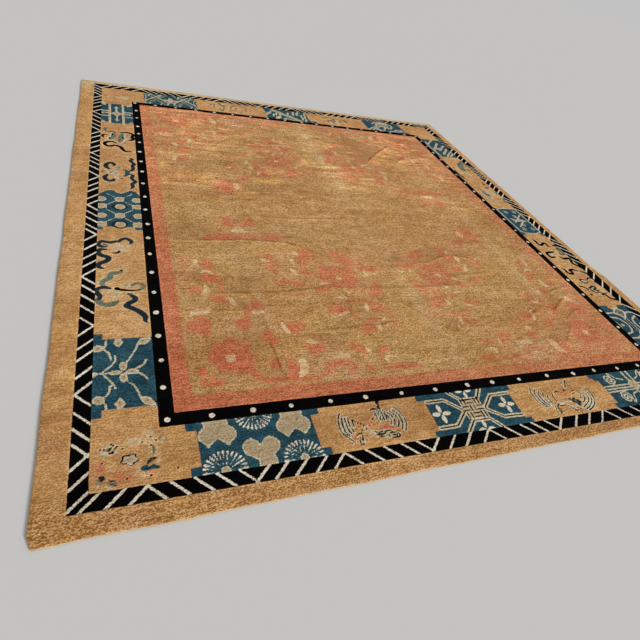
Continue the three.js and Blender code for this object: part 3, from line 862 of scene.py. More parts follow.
# Small key figures inside a cream frame
KEY_FIGURES = (
    ("cream", LINE, (12, (-101, 165), (-102, 63), (-101, -69), (-98, -160)),
     (12, (92, 165), (92, 63), (92, -69), (90, -160)),
     (10, (-98, -160), (-43, -180), (0, -184), (42, -180), (90, -160)),
     (10, (-101, 165), (-43, 175), (0, 177), (42, 175), (92, 165)),
     (7, (-59, 130), (-32, 130), (-32, 104), (-53, 104), (-53, 118), (-41, 118)),
     (7, (28, 141), (56, 141), (56, 114), (35, 114), (35, 128), (46, 128)),
     (7, (-14, 72), (13, 72), (13, 45), (-8, 45), (-8, 59), (4, 59)),
     (7, (-62, 8), (-34, 8), (-34, -18), (-55, -18), (-55, -4), (-44, -4)),
     (7, (34, 8), (61, 8), (61, -18), (40, -18), (40, -4), (52, -4)),
     (7, (-14, -50), (13, -50), (13, -77), (-8, -77), (-8, -63), (4, -63)),
     (7, (-57, -108), (-29, -108), (-29, -135), (-50, -135), (-50, -121), (-39, -121)),
     (7, (31, -106), (59, -106), (59, -132), (37, -132), (37, -119), (49, -119)),
     (13, (25, -21), (-12, -59), (-48, -88)), (13, (71, 85), (16, 29), (-46, -26)),
     (12, (-64, 24), (-18, 5))),
    ("cream", LEAF, (34, (-29, -14), (19, 7), (28, -17))),
    ("dark", LINE, (8, (52, 54), (57, 10)), (8, (-46, -33), (-27, -53))),
)
draw_motif(1437, -49, KEY_FIGURES)

RIGHT_ROLLS = (
    ("dark", LEAF, (22, (44, 192), (50, 174), (58, 157)), (18, (18, 100), (46, 114), (74, 111)),
     (12, (-56, -71), (-50, -84), (-48, -97)), (9, (-94, -195), (-72, -196)),
     (9, (-65, -228), (-42, -226))),
    ("dark", "disc", (-46, 76, 9), (-83, -60, 8)),
    ("cream", LEAF, (34, (-73, 32), (-79, -25), (-67, -65)),
     (20, (-2, 90), (19, 43), (24, -21), (49, -67))),
    ("brown", "disc", (-86, -29, 8)),
    ("grey_green", LEAF, (44, (-46, 64), (-42, 11), (-32, -27), (-30, -61)),
     (24, (78, 56), (88, 32), (83, 0)), (26, (82, -70), (82, -101), (81, -139))),
    ("blue", LEAF, (24, (-35, 1), (-32, -27), (-30, -58))),
    ("cream", LINE, (8, (61, 91), (60, 19), (60, -45), (87, -63))),
    ("brown", LINE, (8, (20, -49), (25, -76), (55, -83))),
    ("pale", "spot", (-42, -117, 70, 0.6), (-16, 10, 110, 0.5)),
)
draw_motif(1437, 365, RIGHT_ROLLS)

FAR_RIBBON = (
    ("grey_green", LEAF, (60, (107, 188), (30, 72), (7, -10), (-10, -90)),
     (40, (118, 169), (114, 107), (117, 67))),
    ("dark", "disc", (27, 112, 13), (-73, 23, 11)),
    ("cream", "disc", (-33, 37, 16)),
    ("dark", LINE, (19, (-96, -37), (-98, -94), (-88, -130), (-82, -175))),
    ("cream", LINE, (8, (-107, -19), (-103, -66), (-106, -123))),
    ("dark", LEAF, (17, (58, 22), (71, -5), (92, -21)), (14, (74, 70), (122, 93), (178, 118))),
    ("cream", LEAF, (34, (-12, -23), (-1, -50), (3, -79))),
    ("blush", "spot", (-24, 83, 60, 0.5)),
    ("pale", "spot", (7, -10, 110, 0.5)),
)
draw_motif(1426, 811, FAR_RIBBON)

blue_panel((1318, 1059, 1535, 1444))
FAR_BARS = (
    ("cream", LINE, (17, (-92, 68), (17, 192)), (23, (-61, -26), (39, 115)), (22, (-14, -49), (87, 68)),
     (22, (-12, -125), (82, -7)), (19, (-2, -176), (98, -65)), (19, (40, -169), (141, -62)),
     (19, (-83, 128), (-94, 12), (-85, -64), (-77, -170))),
    ("dark", LINE, (7, (-51, 118), (-20, 154)), (7, (38, -142), (83, -95))),
    ("cream", LEAF, (30, (-45, -28), (8, 0), (20, -20)), (26, (111, 220), (118, 174), (131, 124))),
)
draw_motif(1426, 1250, FAR_BARS)


# The far border: three blue panels with crossed lines, a stepped diagonal band and a meander, and
# faded ribbons on the tan ground between them.
blue_panel((-1213, 1531, -800, 1770))
blue_panel((-201, 1531, 205, 1770), (205, 1531, 262, 1566))
blue_panel((793, 1531, 1205, 1770), (1205, 1531, 1250, 1560))
for cross_x in (-1120, -900):
    for lean in (-1, 1):
        stroke("grey_green", ((cross_x - 72 * lean, 1540), (cross_x + 72 * lean, 1750)), 30, curved=False)
        stroke("cream", ((cross_x - 84 * lean, 1600), (cross_x + 40 * lean, 1762)), 12, curved=False)
four_petals(-1008, 1650, 56, 34, "cream")
for tick_x in (-1170, -1085, -940, -850):
    stroke("cream", ((tick_x - 12, 1705), (tick_x + 8, 1752)), 9, curved=False)
    stroke("cream", ((tick_x - 8, 1535), (tick_x + 6, 1566)), 9, curved=False)

LINED_ENDS = (
    ("cream", LINE, (7, (-201, 108), (-190, 43), (-198, -28), (-198, -111)),
     (7, (207, 108), (189, 29), (195, -57), (208, -111))),
    ("cream", LEAF, (14, (-22, -28), (-7, 22), (-11, 72)), (14, (18, -104), (25, -64), (14, -28)),
     (14, (-30, -104), (-25, -71), (-15, -36))),
)
draw_motif(-1008, 1644, LINED_ENDS)

FAR_KNOT = (
    ("grey_green", LEAF, (44, (-69, 99), (-43, 50), (-25, 10))),
    ("cream", LEAF, (17, (-54, 99), (-40, 75), (-25, 39))),
    ("dark", LEAF, (13, (-42, 51), (-28, 10)), (11, (70, 35), (77, -18))),
    ("brown", RIBBON, (16, (-158, 0), (-137, 39), (-108, 57), (-119, 0), (-114, -51)),
     (14, (-76, -36), (-61, -87), (-40, -36), (-33, 7)),
     (16, (14, -58), (28, 14), (57, 64), (115, 75), (158, 14), (150, -58)),
     (13, (-8, -94), (43, -51), (93, -79), (122, -36))),
    ("pale", "spot", (-43, -65, 65, 0.5), (93, 14, 72, 0.4)),
)
draw_motif(-534, 1652, FAR_KNOT)

STEPPED_BAND = (
    ("grey_green", LINE, (66, (-119, 90), (-72, 54), (-29, 8), (21, -28), (72, -86), (100, -109)),
     (22, (60, 100), (120, 40), (180, -60))),
    ("cream", LINE, (34, (-119, 90), (-72, 54), (-29, 8), (21, -28), (72, -86), (100, -109)),
     (17, (-188, -24), (-175, 25)), (17, (-160, 5), (-147, 54)), (17, (-142, -53), (-129, -4)),
     (17, (-124, -110), (-112, -61)), (17, (-87, -81), (-74, -33)), (17, (-46, -114), (-33, -65)),
     (17, (-79, -31), (-66, 18)), (17, (65, 51), (78, 100)), (17, (97, 30), (110, 79)),
     (17, (134, -2), (147, 46)), (17, (166, -17), (179, 32)), (17, (176, 51), (189, 100)),
     (17, (151, -103), (164, -54)), (17, (130, -67), (143, -18)), (17, (8, 19), (21, 68)),
     (15, (-105, -100), (-92, -50)), (15, (-110, -20), (-97, 30)),
     (15, (-60, -100), (-10, -84), (40, -112)), (15, (60, 20), (73, 70)), (15, (112, 60), (125, 112)),
     (6, (215, 51), (201, 0), (208, -64), (215, -111)), (6, (-208, 65), (-198, 0), (-207, -79))),
)
draw_motif(4, 1644, STEPPED_BAND)

FAR_SCROLL = (
    ("brown", RIBBON, (23, (-114, 43), (-79, 72), (-28, 79), (8, 51), (-28, 8), (-71, -14), (-79, -64)),
     (16, (36, 72), (72, 29), (51, -28), (94, -64))),
    ("grey_green", RIBBON, (20, (-21, 43), (8, 8), (-36, -43), (-7, -79))),
    ("brown", LEAF, (35, (101, 79), (122, 36), (119, -21))),
    ("cream", LEAF, (9, (-64, -7), (-57, -57), (-68, -100))),
    ("pale", "spot", (8, -14, 86, 0.5)),
)
draw_motif(470, 1644, FAR_SCROLL)

MEANDER = (
    ("cream", LINE, (19, (-206, -107), (-165, -68), (-128, -34), (-94, -83), (-38, -94)),
     (20, (-68, -15), (-60, 59), (15, 93), (90, 82), (101, 29), (67, -23), (15, -8), (-15, -68)),
     (18, (30, -90), (90, -83), (164, -72), (183, -34)), (16, (-98, 7), (-90, -45), (-60, -83)),
     (15, (-104, 60), (-60, 100), (0, 112), (70, 108)), (13, (-30, 62), (20, 74), (66, 60)),
     (13, (-34, 26), (20, 44), (70, 34)), (13, (-60, -10), (-10, 14), (44, 4)),
     (15, (-150, -96), (-118, -60), (-76, -104)), (15, (100, -60), (146, -38), (196, -76))),
    ("grey_green", "disc", (10, 36, 62)),
    ("navy", LEAF, (15, (-60, -45), (-38, -23))),
)
draw_motif(996, 1643, MEANDER)

CORNER_SPOT = (
    ("coral", "disc", (15, 28, 12.7)),
    ("dark", "disc", (-6, -24, 8.2)),
    ("brown", LEAF, (16, (-68, 0), (-38, -45), (7, -75))),
    ("blush", "spot", (7, 7, 37, 0.5)),
)
draw_motif(1393, 1725, CORNER_SPOT)


# The guard stripes: two bands of near-black wool round the rug. The inner one carries a row of
# round pearls, and the outer one slanting lines that turn about after every four or five.
# Their edges, as low x and y and high x and y
FIELD_EDGES = (-1256, -1507, 1268, 1479)
PEARL_BAND_EDGES = (-1311, -1563, 1318, 1531)
BORDER_LEFT, BORDER_NEAR, BORDER_RIGHT, BORDER_FAR = BORDER_EDGES = (-1525, -1769, 1535, 1770)
GUARD_LEFT, GUARD_NEAR, GUARD_RIGHT, GUARD_FAR = GUARD_EDGES = (-1582, -1827, 1606, 1846)

# Whatever the borders painted over the guards is cut back before the guards' own shapes
distances["guard"] = np.full(lattice_x.shape, -FAR_OFF)
for inner_edges, outer_edges in ((FIELD_EDGES, PEARL_BAND_EDGES), (BORDER_EDGES, GUARD_EDGES)):
    inner_left, inner_near, inner_right, inner_far = inner_edges
    left, near, right, far = outer_edges
    band("guard", left, near, inner_left, far)
    band("guard", inner_right, near, right, far)
    band("guard", left, near, right, inner_near)
    band("guard", left, inner_far, right, far)
guard = distances.pop("guard")
border_ivory = np.minimum(distances["ivory"], -guard)
np.maximum(distances["dark"], guard, out=distances["dark"])
distances["ivory"] = np.full(lattice_x.shape, -FAR_OFF)

# The pearls, as unevenly spaced as the knotter set them, each with a straw eye.
# Columns: whether the row runs along the rug, where it lies, and its pearls' places.
PEARL_RADIUS = 10.6
PEARL_EYE_RADIUS = 2.6
PEARL_ROWS = (
    (True, -1285, (
        -1387, -1249, -1113, -973, -833, -683, -533, -390, -259, -114,
        34, 188, 343, 485, 626, 776, 918, 1050, 1204, 1349,
    )),
    (True, 1295, (
        -1392, -1245, -1099, -945, -795, -648, -493, -348, -196, -46,
        104, 251, 392, 541, 691, 841, 984, 1132, 1260, 1386,
    )),
    (False, -1538, (
        -1284, -1130, -975, -825, -664, -505, -336, -163, 10, 151,
        315, 490, 659, 813, 980, 1139, 1296,
    )),
    (False, 1506, (
        -1287, -1137, -982, -825, -673, -516, -367, -210, -55, 99,
        242, 401, 549, 700, 852, 1010, 1169, 1296,
    )),
)
for upright, row_place, pearls in PEARL_ROWS:
    for pearl in pearls:
        pearl_x, pearl_y = (row_place, pearl) if upright else (pearl, row_place)
        slip_x, slip_y, growth = hand.uniform((-3, -3, -1.5), (3, 3, 1.2))
        disc("ivory", pearl_x + slip_x, pearl_y + slip_y, PEARL_RADIUS + growth)
        disc("straw", pearl_x + slip_x, pearl_y + slip_y, PEARL_EYE_RADIUS)

# The slanting lines run outward from the guard's inner or outer edge, in runs that turn about.
# Each line is given by where its middle lies along the guard.
SLANT_WIDTH = 8.8
LEFT_SLANTS = (
    ("outer", (-1790, -1724, -1658)), ("inner", (-1614, -1554, -1488, -1412)),
    ("outer", (-1358, -1284, -1200, -1138, -1062)), ("inner", (-1008, -934, -864, -798, -740)),
    ("outer", (-682, -614, -550, -476, -398)), ("inner", (-346, -298, -232, -172, -110)),
    ("outer", (-60, 6, 84, 144, 214)), ("inner", (278, 354, 420, 476, 536)),
    ("outer", (576, 648, 726, 804, 870)), ("inner", (936, 1004, 1074, 1148, 1214)),
    ("outer", (1268, 1344, 1424, 1488, 1550)), ("inner", (1611, 1668, 1725, 1782)),
)
RIGHT_SLANTS = (
    ("inner", (-1665, -1580, -1490, -1405)), ("outer", (-1330, -1245, -1160, -1080)),
    ("inner", (-1000, -918, -840, -756, -680)), ("outer", (-588, -514, -440, -376, -318)),
    ("inner", (-272, -208, -142, -78, -12)), ("outer", (34, 102, 174, 238, 296)),
    ("inner", (356, 422, 486, 552, 614)), ("outer", (666, 716, 774, 826, 876)),
    ("inner", (970, 1038, 1106, 1172, 1238)), ("outer", (1302, 1372, 1452, 1516)),
    ("inner", (1633, 1693, 1752)),
)
NEAR_SLANTS = (
    ("outer", (-1522, -1450, -1384)), ("inner", (-1334, -1264, -1190, -1118, -1044)),
    ("outer", (-996, -930, -858, -782, -714)), ("inner", (-658, -574, -496, -420, -352)),
    ("outer", (-304, -224, -146, -56)), ("inner", (0, 84, 168, 230, 304)),
    ("outer", (354, 448, 530, 614)), ("inner", (682, 772, 856, 930, 1000)),
    ("outer", (1060, 1130, 1200, 1270, 1340)), ("inner", (1400, 1460, 1515, 1565)),
)
FAR_SLANTS = (
    ("inner", (-1490, -1420, -1350, -1265)), ("outer", (-1200, -1135, -1070, -1000, -935)),
    ("inner", (-870, -805, -740, -670, -605)), ("outer", (-540, -475, -410, -340, -275)),
    ("inner", (-210, -145, -80, -10, 55)), ("outer", (120, 185, 250, 320, 385)),
    ("inner", (450, 515, 580, 650, 715)), ("outer", (780, 845, 910, 980, 1045)),
    ("inner", (1110, 1175, 1240, 1310, 1375)), ("outer", (1440, 1500, 1560)),
)


def slanting_lines(runs, inner, outer, upright):
    """Slanting lines along one guard, whose inner and outer edges are given."""
    half = abs(outer - inner) / 2
    for edge, middles in runs:
        ends = (inner, outer) if edge == "inner" else (outer, inner)
        for middle in middles:
            points = [(ends[0], middle - half), (ends[1], middle + half)]
            if not upright:
                points = [(along, across) for across, along in points]
            stroke("ivory", points, SLANT_WIDTH + hand.uniform(-1, 1), curved=False)


slanting_lines(LEFT_SLANTS, BORDER_LEFT, GUARD_LEFT, True)
slanting_lines(RIGHT_SLANTS, BORDER_RIGHT, GUARD_RIGHT, True)
slanting_lines(NEAR_SLANTS, BORDER_NEAR, GUARD_NEAR, False)
slanting_lines(FAR_SLANTS, BORDER_FAR, GUARD_FAR, False)
distances["ivory"] = np.maximum(np.minimum(distances["ivory"], guard), border_ivory)


# Storage has left soft folds across the rug, as the solid has them. A fold rises to its height
# (mm) along its line and dies out at reach to either side and past its ends.
# Columns: x and y of both ends, height, reach.
FOLDS = (
    (97, -624, 370, -547, 10, 130),
    (370, -547, 597, -553, 11, 130),
    (597, -553, 667, -609, 8, 120),
    (440, 768, 772, 1126, 10, 130),
    (710, 802, 834, 916, 6, 110),
    (-804, -425, -497, -425, 7, 120),
    (-1267, -945, -812, -984, 7, 120),
    (-812, -1015, -812, -1408, 9, 120),
    (-366, -1146, -78, -1098, 6, 110),
    (-508, -840, 2, -840, 4, 110),
    (772, -1067, 1112, -945, 9, 130),
    (790, -1312, 1042, -1137, 6, 110),
    (-839, 1441, -839, 1269, 5, 110),
)
fold_lift = np.zeros(lattice_x.shape)
for x1, y1, x2, y2, height, reach in FOLDS:
    distance, _ = from_segment(lattice_x, lattice_y, (x1, y1), (x2, y2))
    rise = height * np.cos(np.pi / 2 * np.clip(distance / reach, 0, 1)) ** 2
    fold_lift = np.maximum(fold_lift, rise)

# Sharp creases run along the folds and between them: the pile stands up in a ridge, or is pressed
# down (below 0). Painted shade, with some dirt, darkens its far side, and its other side is painted
# lighter.
# Columns: height (mm), half width (mm), and the points it runs through.
CREASES = (
    (3.0, 34, (-1220, -405), (-800, -405), (-560, -430), (-440, -490), (-310, -585)),
    (2.2, 22, (-620, -565), (-480, -575)),
    (2.0, 20, (-800, -165), (-700, -135), (-560, -150), (-400, -150), (-200, -142), (0, -122)),
    (2.2, 18, (-120, -250), (-20, -220), (60, -208)),
    (1.6, 14, (-1080, -850), (-700, -852), (-420, -828), (-100, -842), (20, -840), (480, -818)),
    (1.8, 16, (-1262, -955), (-1150, -975), (-800, -990)),
    (2.6, 20, (-600, -1135), (-300, -1128), (-100, -1103)),
    (1.8, 16, (-780, -1172), (-590, -1162)),
    (1.4, 14, (-470, -780), (-390, -830), (-345, -905), (-370, -1020), (-330, -1110)),
    (-3.4, 13, (-822, -1150), (-815, -1410)),
    (1.6, 12, (-836, -930), (-812, -1180)),
    (-1.6, 12, (-950, -862), (-900, -885), (-886, -1040)),
    (1.6, 18, (-90, -925), (20, -1055), (60, -1110)),
    (3.4, 24, (150, -645), (210, -625), (310, -608), (375, -578), (435, -557), (495, -550)),
    (3.0, 20, (495, -550), (605, -563), (648, -588), (676, -622)),
    (2.0, 18, (80, -605), (160, -558)),
    (2.0, 20, (320, -460), (387, -446), (453, -458)),
    (2.6, 18, (330, -750), (507, -726), (613, -714), (745, -688)),
    (2.4, 14, (93, -1210), (140, -1156), (207, -1084)),
    (2.4, 12, (120, -1246), (173, -1186), (210, -1090)),
    (2.0, 12, (190, -1220), (230, -1156)),
    (2.8, 20, (640, -1128), (720, -1120), (773, -1082), (853, -1056)),
    (2.0, 16, (787, -1000), (907, -940)),
    (3.4, 22, (853, -1104), (933, -1076), (1013, -1022), (1080, -982), (1160, -914)),
    (2.6, 16, (987, -926), (1173, -870), (1290, -838)),
    (2.2, 18, (960, -1165), (1027, -1112), (1093, -1080), (1187, -1064)),
    (2.8, 18, (773, -1345), (853, -1290), (940, -1214)),
    (2.2, 16, (1040, -1276), (1200, -1358)),
    (1.5, 14, (80, -1440), (373, -1408), (560, -1368)),
    (-2.0, 11, (-833, 1500), (-833, 1285)),
    (2.2, 18, (-824, 745), (-767, 828), (-713, 895), (-633, 988)),
    (3.0, 20, (-580, 928), (-393, 928), (-287, 954), (-153, 967)),
    (2.0, 18, (-580, 868), (-393, 894)),
    (2.2, 20, (-1120, 790), (-1040, 735), (-807, 726), (-580, 712)),
    (2.0, 16, (-1050, 800), (-1040, 700)),
    (1.8, 18, (-660, 522), (-553, 535)),
    (2.0, 20, (-367, 300), (-193, 288), (-20, 300)),
    (1.8, 20, (-473, 186), (-287, 160)),
    (4.2, 26, (440, 740), (533, 858), (640, 970), (700, 1030), (787, 1120), (867, 1175)),
    (2.6, 22, (933, 1240), (1027, 1306), (1120, 1360), (1180, 1425)),
    (3.2, 22, (707, 780), (760, 826), (827, 880), (875, 925), (890, 993)),
    (2.4, 16, (427, 160), (493, 216), (560, 292)),
    (2.2, 18, (507, 462), (667, 476)),
    (1.8, 14, (533, 332), (667, 338), (840, 352)),
    (2.0, 18, (920, 120), (947, 210), (987, 252), (1067, 266)),
    (1.8, 26, (560, 610), (760, 800)),
    (2.4, 16, (-1672, -1307), (-1590, -1322)),
    (2.0, 14, (-1672, -1494), (-1596, -1487)),
    (2.0, 14, (-1668, -1675), (-1604, -1678)),
    (1.6, 14, (-1672, -1120), (-1600, -1112)),
)
CREASE_TAPER = 90
# A crease's dark line keeps its strength to the first distance (mm) and is gone by the second
CREASE_CORE, CREASE_REACH = 14, 34
SHADED_SIDE = (-0.57, 0.82)


def along_crease(x, y, points):
    """The distance from a crease, above 0 on its shaded side, and its strength along it."""
    whole_x, whole_y = np.subtract(points[-1], points[0])
    side = np.sign(whole_x * SHADED_SIDE[1] - whole_y * SHADED_SIDE[0])
    lengths = np.hypot(*np.diff(points, axis=0).T)
    passed = np.concatenate([[0], np.cumsum(lengths)])
    signed = np.full(x.shape, FAR_OFF)
    strength = np.zeros(x.shape)
    for (x1, y1), (x2, y2), length, before in zip(points, points[1:], lengths, passed):
        gap, share = from_segment(x, y, (x1, y1), (x2, y2))
        beside = (y - y1) * (x2 - x1) - (x - x1) * (y2 - y1)
        nearer = gap < np.abs(signed)
        signed = np.where(nearer, np.copysign(gap, beside * side), signed)
        along = share * length
        from_end = np.minimum(before + along, passed[-1] - before - along)
        strength = np.where(nearer, np.clip(from_end / CREASE_TAPER, 0, 1), strength)
    return signed, strength


crease_lift = np.zeros(lattice_x.shape)
crease_depth = np.zeros(lattice_x.shape)
crease_side = np.full(lattice_x.shape, FAR_OFF)
for height, half_width, *points in CREASES:
    part = window(*np.min(points, 0), *np.max(points, 0))
    signed, strength = along_crease(lattice_x[part], lattice_y[part], points)
    rise = np.exp(-((signed / (0.6 * half_width)) ** 2))
    crease_lift[part] += height * (0.3 + 0.7 * strength) * rise
    share = np.clip((CREASE_REACH - np.abs(signed)) / (CREASE_REACH - CREASE_CORE), 0, 1)
    depth = abs(height) * strength * share
    deeper = depth > crease_depth[part]
    crease_depth[part] = np.where(deeper, depth, crease_depth[part])
    crease_side[part] = np.where(deeper, signed, crease_side[part])
crease_side = np.clip(crease_side, -CREASE_REACH, CREASE_REACH)

# The rug was stored folded in four: its pile is worn paler along those folds.
# Columns: x and y of both ends, reach, amount.
WORN_FOLDS = (
    (42, 1500, 42, 250, 70, 0.42),
    (42, 250, 50, -1500, 60, 0.2),
    (925, 900, 930, -900, 45, 0.25),
    (-822, 1500, -812, -1100, 30, 0.18),
)
for x1, y1, x2, y2, reach, amount in WORN_FOLDS:
    distance, _ = from_segment(lattice_x, lattice_y, (x1, y1), (x2, y2))
    np.maximum(tints["pale"], amount * np.clip(1 - distance / reach, 0, 1), out=tints["pale"])

# Broad patches of painted light (above 0) and painted shade (below 0): light and shade on the pile's lean
# and undulations, and in part wear.
# Columns: x, y, reach across and along, amount.
PAINTED_LIGHT_AND_SHADE_PATCHES = (
    (-1100, -1660, 420, 105, -0.35), (-480, -1660, 260, 100, -0.3), (120, -1660, 400, 90, -0.15),
    (-1600, -1830, 330, 240, -0.7), (-700, -1880, 900, 150, -0.7), (600, -1880, 900, 150, -0.5),
    (-500, -1600, 1300, 200, -0.35), (-1040, -1180, 260, 260, -0.7), (-340, 580, 260, 210, -0.55),
    (-500, 170, 460, 120, -0.4), (-340, 1060, 80, 130, -0.5), (480, 1180, 300, 190, -0.45),
    (-1100, 780, 130, 70, -0.4), (340, -660, 210, 110, -0.3), (660, -360, 140, 110, -0.35),
    (1100, -1240, 230, 230, -0.45), (1190, -260, 120, 330, -0.35), (380, -1070, 280, 110, -0.25),
    (-760, -215, 460, 50, -0.4), (-1080, -340, 260, 60, -0.5), (1150, 1250, 170, 260, -0.3),
    (-780, 860, 380, 190, 0.45), (-20, 760, 150, 650, 0.4), (180, 460, 280, 150, 0.4),
    (820, 780, 180, 190, 0.45), (880, 460, 230, 170, 0.35), (860, -620, 150, 230, 0.6),
    (580, -860, 360, 90, 0.5), (20, -1140, 280, 360, 0.3), (-580, -140, 400, 60, 0.35),
    (-700, -530, 260, 90, 0.4), (-940, -100, 240, 110, 0.25), (1100, -1020, 130, 60, 0.35),
    (-1225, -200, 50, 1500, 0.3), (1225, 500, 90, 600, -0.5), (-200, 1450, 800, 50, -0.3),
    (-500, -1890, 300, 110, 0.4), (350, -1890, 420, 110, -0.65), (-1620, -1840, 150, 110, -0.45),
    (-1635, -600, 50, 300, 0.3), (560, -1340, 230, 120, -0.35), (-500, -1350, 150, 90, -0.4),
    (-450, -290, 170, 90, -0.4), (-480, 260, 150, 180, -0.35), (-60, -720, 330, 110, 0.4),
    (620, -740, 200, 120, 0.45), (-680, -880, 130, 110, 0.45), (800, 150, 200, 220, 0.3),
    (150, 0, 250, 350, 0.25),
)
painted_light_and_shade = np.zeros(lattice_x.shape)
for shade_x, shade_y, reach_x, reach_y, amount in PAINTED_LIGHT_AND_SHADE_PATCHES:
    gap = np.hypot((lattice_x - shade_x) / reach_x, (lattice_y - shade_y) / reach_y)
    painted_light_and_shade += amount * np.exp(-1.4 * gap**2)


# The sheet's mesh. Both skins start as square cells of 16 lattice steps, and a cell is divided in
# four wherever the pattern, the folds or the outline bend too much inside it. A rounded rim joins
# the upper skin of pile to the lower one.
CELL_SIZES = (16, 8, 4, 2)
# How far a straight line between a cell's corners may stray before the cell is divided, and how
# near a colour's edge (mm) that counts
HEIGHT_TOLERANCE = 0.6
PLACE_TOLERANCE = 0.5
DEPTH_TOLERANCE = 0.8
TINT_TOLERANCE = 0.15
COLOUR_TOLERANCE, COLOUR_REACH = 1.5, 2.3
SOFTER_EDGES = {"rose": (5.0, 14.0), "cream": (1.8, 6.0)}
BACK_TOLERANCE, BACK_REACH = 7.0, 12
# A cell's corners and the middles of its sides, counter-clockwise, as half cells up and over
CELL_RING = ((0, 0), (0, 1), (0, 2), (1, 2), (2, 2), (2, 1), (2, 0), (1, 0))


def misfit(values, cell, reach=None):
    """How far a straight-line guess between each cell's corners strays from the values."""
    share = np.linspace(0, 1, cell + 1)
    corner = values[::cell, ::cell][:, :, None, None]
    along, across = share[None, None, :, None], share[None, None, None, :]
    guess = corner[:-1, :-1] * (1 - along) * (1 - across)
    guess = guess + corner[:-1, 1:] * (1 - along) * across
    guess = guess + corner[1:, :-1] * along * (1 - across)
    guess = guess + corner[1:, 1:] * along * across
    drawn = np.lib.stride_tricks.sliding_window_view(values, (cell + 1, cell + 1))
    drawn = drawn[::cell, ::cell]
    stray = np.abs(guess - drawn)
    if reach is not None:
        near = np.minimum(np.abs(guess), np.abs(drawn)) < reach
        stray = np.where(near | (guess * drawn < 0), stray, 0)
    return stray.max((2, 3))


def balanced(divided):
    """Divides more cells until neighbours differ by one size at the most."""
    for cell in (2, 4, 8):
        wide = np.pad(divided[cell], 1)
        beside = wide[:-2, 1:-1] | wide[2:, 1:-1] | wide[1:-1, :-2] | wide[1:-1, 2:]
        beside |= divided[cell]
        rows, columns = beside.shape
        divided[cell * 2] |= beside.reshape(rows // 2, 2, columns // 2, 2).any((1, 3))
    return divided


def pile_division():
    """For each cell size, which cells of the upper skin are divided in four."""
    limits = [
        (fold_lift + crease_lift, HEIGHT_TOLERANCE, None),
        (crease_depth, DEPTH_TOLERANCE, None),
        (lattice_x, PLACE_TOLERANCE, None),
        (lattice_y, PLACE_TOLERANCE, None),
    ]
    limits += [(patch, TINT_TOLERANCE, None) for patch in tints.values()]
    for colour, distance in distances.items():
        limits.append((distance, *SOFTER_EDGES.get(colour, (COLOUR_TOLERANCE, COLOUR_REACH))))
    divided = {}
    for cell in CELL_SIZES:
        strays = [misfit(values, cell, reach) > most for values, most, reach in limits]
        divided[cell] = np.any(strays, 0)
        if cell < CELL_SIZES[0]:
            divided[cell] &= divided[cell * 2].repeat(2, 0).repeat(2, 1)
    return balanced(divided)


def back_division(pile):
    """The same for the lower skin, which keeps only the largest shapes."""
    wanted = misfit(distances["blue"], 8, BACK_REACH) > BACK_TOLERANCE
    wanted |= misfit(distances["dark"], 8, BACK_REACH) > BACK_TOLERANCE
    divided = {16: pile[16].copy(), 8: wanted & pile[8]}
    divided.update({cell: np.zeros_like(pile[cell]) for cell in (4, 2)})
    return balanced(divided)


def skin_faces(divided):
    """The skin's quads and triangles, as lattice point numbers, and which points they use."""
    leaves = {}
    parents = np.ones_like(divided[16])
    for cell in CELL_SIZES:
        leaves[cell] = np.argwhere(parents & ~divided[cell]) * cell
        parents = (parents & divided[cell]).repeat(2, 0).repeat(2, 1)
    leaves[1] = np.argwhere(parents)
    used = np.zeros(lattice_x.shape, bool)
    for cell, places in leaves.items():
        rows, columns = places.T
        for up, over in ((0, 0), (0, cell), (cell, cell), (cell, 0)):
            used[rows + up, columns + over] = True

    quads, triangles = [], []
    for cell, places in leaves.items():
        rows, columns = places.T
        ring = [(rows + up * cell // 2, columns + over * cell // 2) for up, over in CELL_RING]
        points = np.array([ups * used.shape[1] + overs for ups, overs in ring]).T
        if cell == 1:
            quads.append(points[:, ::2])
            continue
        # A neighbour of half the size leaves a point in the middle of a side, and such a cell
        # becomes a fan of triangles from that point
        hanging = np.array([used[middle] for middle in ring[1::2]]).T
        for pattern in range(16):
            middles = [bool(pattern >> side & 1) for side in range(4)]
            chosen = points[(hanging == middles).all(1)]
            kept = [corner for corner in range(8) if corner % 2 == 0 or middles[corner // 2]]
            if pattern == 0:
                quads.append(chosen[:, kept])
                continue
            first = kept.index(2 * middles.index(True) + 1)
            fan = kept[first:] + kept[:first]
            for second, third in zip(fan[1:], fan[2:]):
                triangles.append(chosen[:, [fan[0], second, third]])
    return np.concatenate(quads), np.concatenate(triangles), used


def outline_loop(used):
    """The used lattice points round the edge, counter-clockwise, as rows and columns."""
    last_row, last_column = LATTICE_ROWS, LATTICE_COLUMNS
    near = [(0, column) for column in range(last_column) if used[0, column]]
    right = [(row, last_column) for row in range(last_row) if used[row, last_column]]
    far = [(last_row, column) for column in range(last_column, 0, -1) if used[last_row, column]]
    left = [(row, 0) for row in range(last_row, 0, -1) if used[row, 0]]
    return near + right + far + left


# The rim's rings: how far each lies outside the lattice (mm), and how high, as a share of the
# thickness. On the unwrapped map they follow each other at this spacing.
RIM_RINGS = ((3.4, 0.9), (4.7, 0.72), (5.0, 0.42), (3.9, 0.12))
RIM_MAP_STEP = 4
# The map gives the pile its full height and the back a narrow strip beside it
MAP_MARGIN = 0.004
BACK_STRIP = (0.893, 0.996)


